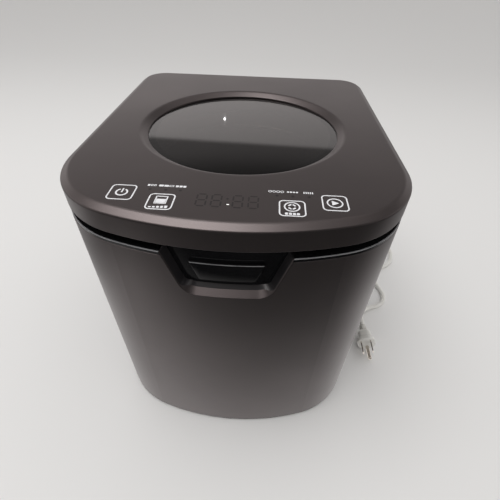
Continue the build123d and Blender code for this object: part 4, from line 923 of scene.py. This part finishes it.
even = lid_cover.modifiers.new("even_shading", "WEIGHTED_NORMAL")
even.keep_sharp = True

# ------------------------
# Printed controls. White ink marks on the lid's front edge: four framed touch symbols and two rows
# of small signs. The unlit digits and lamps between them show as darker windows in the paint.

INK_FOOT, INK_TOP, GLOW_TOP = 0.29494, 0.29499, 0.295
FRAMES = ((-85.4, -67.1, -140.3, -121.3), (-55.7, -37.3, -149.5, -130.5),
          (34.2, 52.5, -149.2, -130.7), (64.0, 82.2, -140.5, -121.7))  # left, right, front, back in mm
POWER, STIR, START = (-76.3, -131.0), (43.2, -138.3), (73.0, -131.2)  # middles of the round symbols
SIGN_BACK, SIGN_FRONT = -118.9, -121.2
DIGIT_LEFTS, DIGIT_WIDE = (-23.1, -12.7, 2.1, 12.8), 7.9
DIGIT_FRONT, DIGIT_MIDDLE, DIGIT_BACK = -142.5, -135.35, -128.2
print_white = make_finish(
    "print_white", (0.80, 0.80, 0.82), (0.74, 0.74, 0.76), patches=300, rough=(0.5, 0.1),
    grain=(2500, 10),
)
dark_window = make_finish(
    "dark_window", (0.012, 0.009, 0.009), (0.008, 0.006, 0.006), patches=60, rough=(0.42, 0.05),
    grain=(900, 10),
)


def flat_box(bm, left, right, front, back, rounding=0.0):
    """Adds a flat filled rectangle, in millimetres, with its corners rounded; returns its face."""
    corners = [(left, front), (right, front), (right, back), (left, back)]
    verts = [bm.verts.new((x / 1000, y / 1000, INK_FOOT)) for x, y in corners]
    face = bmesh.ops.contextual_create(bm, geom=verts)["faces"][0]
    if rounding:
        done = round_corners(bm, verts, rounding / 1000, 6)
        touched = {face for vert in done["verts"] for face in vert.link_faces}
        face = max(touched, key=lambda face: face.calc_area())
    return face


def flat_round(bm, x, y, radius, points=40, turned=0.0):
    """Adds a flat filled disc, or a polygon with few points, in millimetres; returns its face."""
    place = Matrix.Translation((x / 1000, y / 1000, INK_FOOT)) @ Matrix.Rotation(turned, 4, "Z")
    made = bmesh.ops.create_circle(bm, cap_ends=True, segments=points, radius=radius / 1000, matrix=place)
    return made["verts"][0].link_faces[0]


def hollow(bm, face, width):
    """Leaves only a line of that width, in millimetres, along the edge of a flat face."""
    inset(bm, [face], width / 1000, use_boundary=True)
    bmesh.ops.delete(bm, geom=[face], context="FACES_ONLY")


def printed(bm, name, material, slot, top=INK_TOP):
    """Turns the flat marks to face up, gives them the ink's thickness and finishes the piece."""
    bm.normal_update()
    bmesh.ops.reverse_faces(bm, faces=[face for face in bm.faces if face.normal.z < 0])
    thicken(bm, (0, 0, top - INK_FOOT))
    return finished_piece(bm, name, material, "lid", slot)


bm = bmesh.new()
for frame_edges in FRAMES:
    hollow(bm, flat_box(bm, *frame_edges, 3.4), 0.95)
hollow(bm, flat_round(bm, *POWER, 4.5), 1.2)  # on and off: a ring, open at the back, and a stroke
middles = [(face, face.calc_center_median() * 1000) for face in bm.faces]
gap = [face for face, middle in middles if abs(middle.x - POWER[0]) < 1.6 and -128.2 < middle.y < -125.5]
bmesh.ops.delete(bm, geom=gap, context="FACES")
flat_box(bm, POWER[0] - 0.55, POWER[0] + 0.55, -131.2, -126.1, 0.3)
hollow(bm, flat_box(bm, -50.8, -42.2, -142.7, -133.4, 0.5), 0.9)  # container, and what is in it
flat_box(bm, -50.1, -42.9, -142.1, -137.0, 0.2)
for step in range(5):  # a row of rising bars under the container
    flat_box(bm, -53.1 + 2.7 * step, -51.2 + 2.7 * step, -147.5, -146.3 + 0.4 * step, 0.2)
hollow(bm, flat_round(bm, *STIR, 5.6), 1.0)
for side in (-1, 1):  # two chevrons in the ring, up and down
    tip = Vector((STIR[0], STIR[1] + 3.2 * side, 0)) / 1000
    lean = Matrix.Rotation(math.radians(-42 * side), 4, "Z")
    for way in (-1, 1):
        stroke = list(flat_box(bm, -0.6, 3.3, -0.6, 0.6, 0.25).verts)
        bmesh.ops.transform(bm, matrix=lean, verts=stroke)
        bmesh.ops.scale(bm, vec=(way, 1, 1), verts=stroke)
        bmesh.ops.translate(bm, vec=tip, verts=stroke)
for step in range(4):
    flat_box(bm, 38.3 + 2.6 * step, 40.3 + 2.6 * step, -147.5, -145.2, 0.3)
hollow(bm, flat_round(bm, *START, 5.7), 1.0)
arrow = flat_round(bm, START[0] - 0.4, START[1], 3.3, points=3, turned=-math.pi / 2)
round_corners(bm, list(arrow.verts), 0.0005, 3)
for start, cell, filled in ((-60.7, 2.3, 1), (-52.4, 3.8, 2), (-40.2, 2.7, 3)):  # small, middle and full load
    for place in range(3):
        left = start + cell * place
        box = flat_box(bm, left, left + cell - 0.5, SIGN_FRONT, SIGN_BACK, 0.3)
        if place >= filled:
            hollow(bm, box, 0.5)
for ring in range(4):  # the stirrer's rings, drops for rinsing, and the filter's slats
    hollow(bm, flat_round(bm, 28.0 + 2.9 * ring, -120.2, 1.35, 20), 0.5)
for drop in range(4):
    flat_round(bm, 40.9 + 2.1 * drop, -120.1, 0.9, 20)
for slat in range(5):
    flat_box(bm, 51.9 + 1.5 * slat, 52.7 + 1.5 * slat, -121.3, SIGN_BACK, 0.2)
printed(bm, "printed_signs", print_white, "white_plastic")

bm = bmesh.new()
for left in DIGIT_LEFTS:
    right = left + DIGIT_WIDE
    for level in (DIGIT_FRONT, DIGIT_MIDDLE, DIGIT_BACK):  # the bars that lie across
        flat_box(bm, left + 1.4, right - 1.4, level - 0.6, level + 0.6, 0.5)
    for edge in (left + 0.65, right - 0.65):  # the bars that stand
        for low, high in ((DIGIT_FRONT + 0.9, DIGIT_MIDDLE - 1.0), (DIGIT_MIDDLE + 1.0, DIGIT_BACK - 1.0)):
            flat_box(bm, edge - 0.6, edge + 0.6, low, high, 0.5)
for y in (-138.5, -132.6):  # colon
    flat_round(bm, -1.35, y, 0.9, 16)
for x in (-57.7, -46.3, -35.9, 33.0, 44.2, 55.7):  # lamps under the small signs
    flat_round(bm, x, -125.3, 1.15, 20)
printed(bm, "display_windows", dark_window, "dark_paint")

standby_glow, tree, shader = new_material(
    "standby_glow", Base_Color=(0.8, 0.8, 0.78, 1), Roughness=0.4, Emission_Strength=0.7
)
cells = cell_pattern(tree, 2500).outputs["Distance"]
glow = mix_colour(tree, cells, (1.0, 0.98, 0.94), (0.8, 0.78, 0.74))
tree.links.new(glow, shader.inputs["Emission Color"])
bm = bmesh.new()
flat_box(bm, -1.3, 0.5, -139.9, -139.1, 0.3)
printed(bm, "standby_mark", standby_glow, "white_plastic", top=GLOW_TOP)

# ------------------------
# Mains lead. A white PVC flex with three cores leaves the back low down, is put away in a coil
# behind the appliance, and comes round its right side to the plug. It lies on the worktop.

CORD_WIDTH = 0.0062
LYING = 0.0031
COIL_MIDDLE = Vector((0.040, 0.2245, 0))
COIL_STEP = 22.5  # degrees from point to point
PLUG_END = (0.1795, -0.023, 0.0134)
lead_points = [
    (0.102, 0.190, 0.020), (0.102, 0.207, 0.020), (0.097, 0.227, 0.0175), (0.082, 0.245, 0.013),
    (0.061, 0.256, 0.010),
]
run_points = [(x, y, LYING) for x, y in (
    (0.066, 0.180), (0.098, 0.184), (0.131, 0.191), (0.165, 0.196), (0.200, 0.197), (0.228, 0.194),
    (0.248, 0.187), (0.261, 0.175), (0.2663, 0.159), (0.2648, 0.141), (0.257, 0.123), (0.241, 0.112),
    (0.2275, 0.101), (0.220, 0.088), (0.220, 0.074), (0.2255, 0.060), (0.2285, 0.044), (0.2235, 0.030),
    (0.212, 0.0215),
)]
run_points += [(0.1985, 0.0175, 0.0045), (0.1865, 0.007, 0.0092), (0.1795, -0.0075, 0.0134), PLUG_END]


def coil_point(step, radius, height):
    """Place on the coil, that many steps round from its back."""
    angle = math.radians(90 + COIL_STEP * step)
    return COIL_MIDDLE + Vector((radius * math.cos(angle), radius * math.sin(angle), height))


coil_points = []
for step in range(17):  # upper turn, which comes down at its end
    drop = max(0, step - 12) / 4
    coil_points.append(coil_point(step, 0.0335 - 0.0045 * drop, 0.0094 - 0.0063 * drop))
for step in range(1, 41):  # lower turns, from the middle outwards
    coil_points.append(coil_point(step, 0.029 + 0.0165 * step / 40, LYING))

white_pvc = make_finish(
    "white_pvc", (0.72, 0.71, 0.68), (0.66, 0.65, 0.61), patches=40, rough=(0.42, 0.1), grain=(1600, 50)
)
flex = bpy.data.curves.new("mains_flex", "CURVE")
flex.dimensions = "3D"
flex.bevel_depth = CORD_WIDTH / 2
flex.bevel_resolution = 6
flex.resolution_u = 8
flex.use_fill_caps = True
spline = flex.splines.new("NURBS")
cord_points = lead_points + coil_points + run_points
spline.points.add(len(cord_points) - 1)
for point, place in zip(spline.points, cord_points):
    point.co = (*place, 1)
spline.order_u = 3
spline.use_endpoint_u = True
flex.materials.append(white_pvc)
mains_flex = into_scene("mains_flex", flex)
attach(mains_flex, "housing")
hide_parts("cord_lead", "cord_coil", "cord_run")

# ------------------------
# Strain relief, plug and tie. Moulded white PVC: a ribbed boot clipped into the back panel, and a
# grounded three-pin plug with a ribbed neck and a flat grip. The pins are nickel-plated brass.

BOOT_AXIS = (0.102, 0, 0.020)
PLUG_PLACE = Matrix.Translation(PLUG_END) @ Matrix.Rotation(math.radians(-22), 4, "Y")
GRIP_SIZE, GRIP_HEIGHT = (0.018, 0.020, 0.0090), 0.0225
FACE_SIZE, FACE_HEIGHT = (0.024, 0.024, 0.005), 0.0295
make_finish(
    "nickel", (0.68, 0.64, 0.58), (0.58, 0.54, 0.48), patches=120, rough=(0.24, 0.12), grain=(2600, 10),
    metal=1, on="plug_pins",
)
make_finish(
    "tie_rubber", (0.035, 0.035, 0.036), (0.028, 0.028, 0.029), patches=100, rough=(0.55, 0.1),
    grain=(1500, 80), on="coil_tie",
)

boot = [(0.0031, 0.1590), (0.0090, 0.1590), (0.0090, 0.1619), (0.0058, 0.1620), (0.0058, 0.1650)]
boot.append((0.0065, 0.1651))
for rib in range(6):
    start = 0.1680 + 0.0034 * rib
    thick = 0.0064 - 0.00034 * rib
    boot += [(thick, start), (thick - 0.0009, start + 0.0004), (thick - 0.0009, start + 0.0014)]
    boot.append((thick - 0.0002, start + 0.0018))
boot += [(0.0046, 0.1886), (0.0044, 0.1900), (0.0031, 0.1900)]
bm = bmesh.new()
turn_profile(bm, boot, 40, BOOT_AXIS, closed=True, axis="Y")
finished_piece(bm, "ribbed_boot", white_pvc, "housing", "white_plastic", "cord_gland", smooth=40)


def along_plug(bm, verts):
    """Lays a shape made upright at the origin along the plug, whose cord enters at height 0."""
    bmesh.ops.transform(bm, matrix=PLUG_PLACE @ Matrix.Rotation(math.pi / 2, 4, "X"), verts=verts)


def round_block(bm, size, height, corner, segments):
    """Adds an upright block with its middle at a height, rounded round its sides."""
    place = Matrix.Translation((0, 0, height)) @ Matrix.Diagonal((*size, 1))
    block = bmesh.ops.create_cube(bm, size=1, matrix=place)["verts"]
    edges = {edge for vert in block for edge in vert.link_edges}
    upright = [edge for edge in edges if abs(edge.verts[0].co.z - edge.verts[1].co.z) > size[2] / 2]
    bmesh.ops.bevel(
        bm, geom=upright, offset=corner, offset_type="OFFSET", segments=segments, profile=0.5, affect="EDGES",
        material=-1,
    )


neck = [(0, 0), (0.0039, 0)]
for rib in range(4):
    start = 0.0014 + 0.0026 * rib
    thick = 0.0042 + 0.0004 * rib
    neck += [(thick, start), (thick + 0.0001, start + 0.0011), (thick - 0.0007, start + 0.0014)]
    neck.append((thick - 0.0007, start + 0.0022))
neck += [(0.0056, 0.0120), (0.0056, 0.0150), (0, 0.0150)]
bm = bmesh.new()
along_plug(bm, turn_profile(bm, neck, 32))
done = set(bm.verts)
round_block(bm, GRIP_SIZE, GRIP_HEIGHT, corner=0.0056, segments=8)
bm.normal_update()
cord_end = [face for face in bm.faces if not set(face.verts) & done and face.normal.z < -0.9]
for reach, wide, deep in ((0.0022, 0.92, 0.90), (0.0022, 0.86, 0.84), (0.0018, 0.84, 0.82)):  # to the neck
    grown = bmesh.ops.extrude_face_region(bm, geom=cord_end)["geom"]
    bmesh.ops.delete(bm, geom=cord_end, context="FACES_ONLY")
    cord_end = only(grown, BMFace)
    bmesh.ops.translate(bm, vec=(0, 0, -reach), verts=only(grown, BMVert))
    bmesh.ops.scale(bm, vec=(wide, deep, 1), verts=only(grown, BMVert))
round_block(bm, FACE_SIZE, FACE_HEIGHT, corner=0.008, segments=10)
rims = [edge for edge in corner_edges(bm, 50) if not set(edge.verts) & done]
soften(bm, rims, 0.0009, 3)
along_plug(bm, [vert for vert in bm.verts if vert not in done])
bmesh.ops.recalc_face_normals(bm, faces=bm.faces)
finished_piece(bm, "moulded_plug", white_pvc, "housing", "white_plastic", "plug_body", smooth=40)
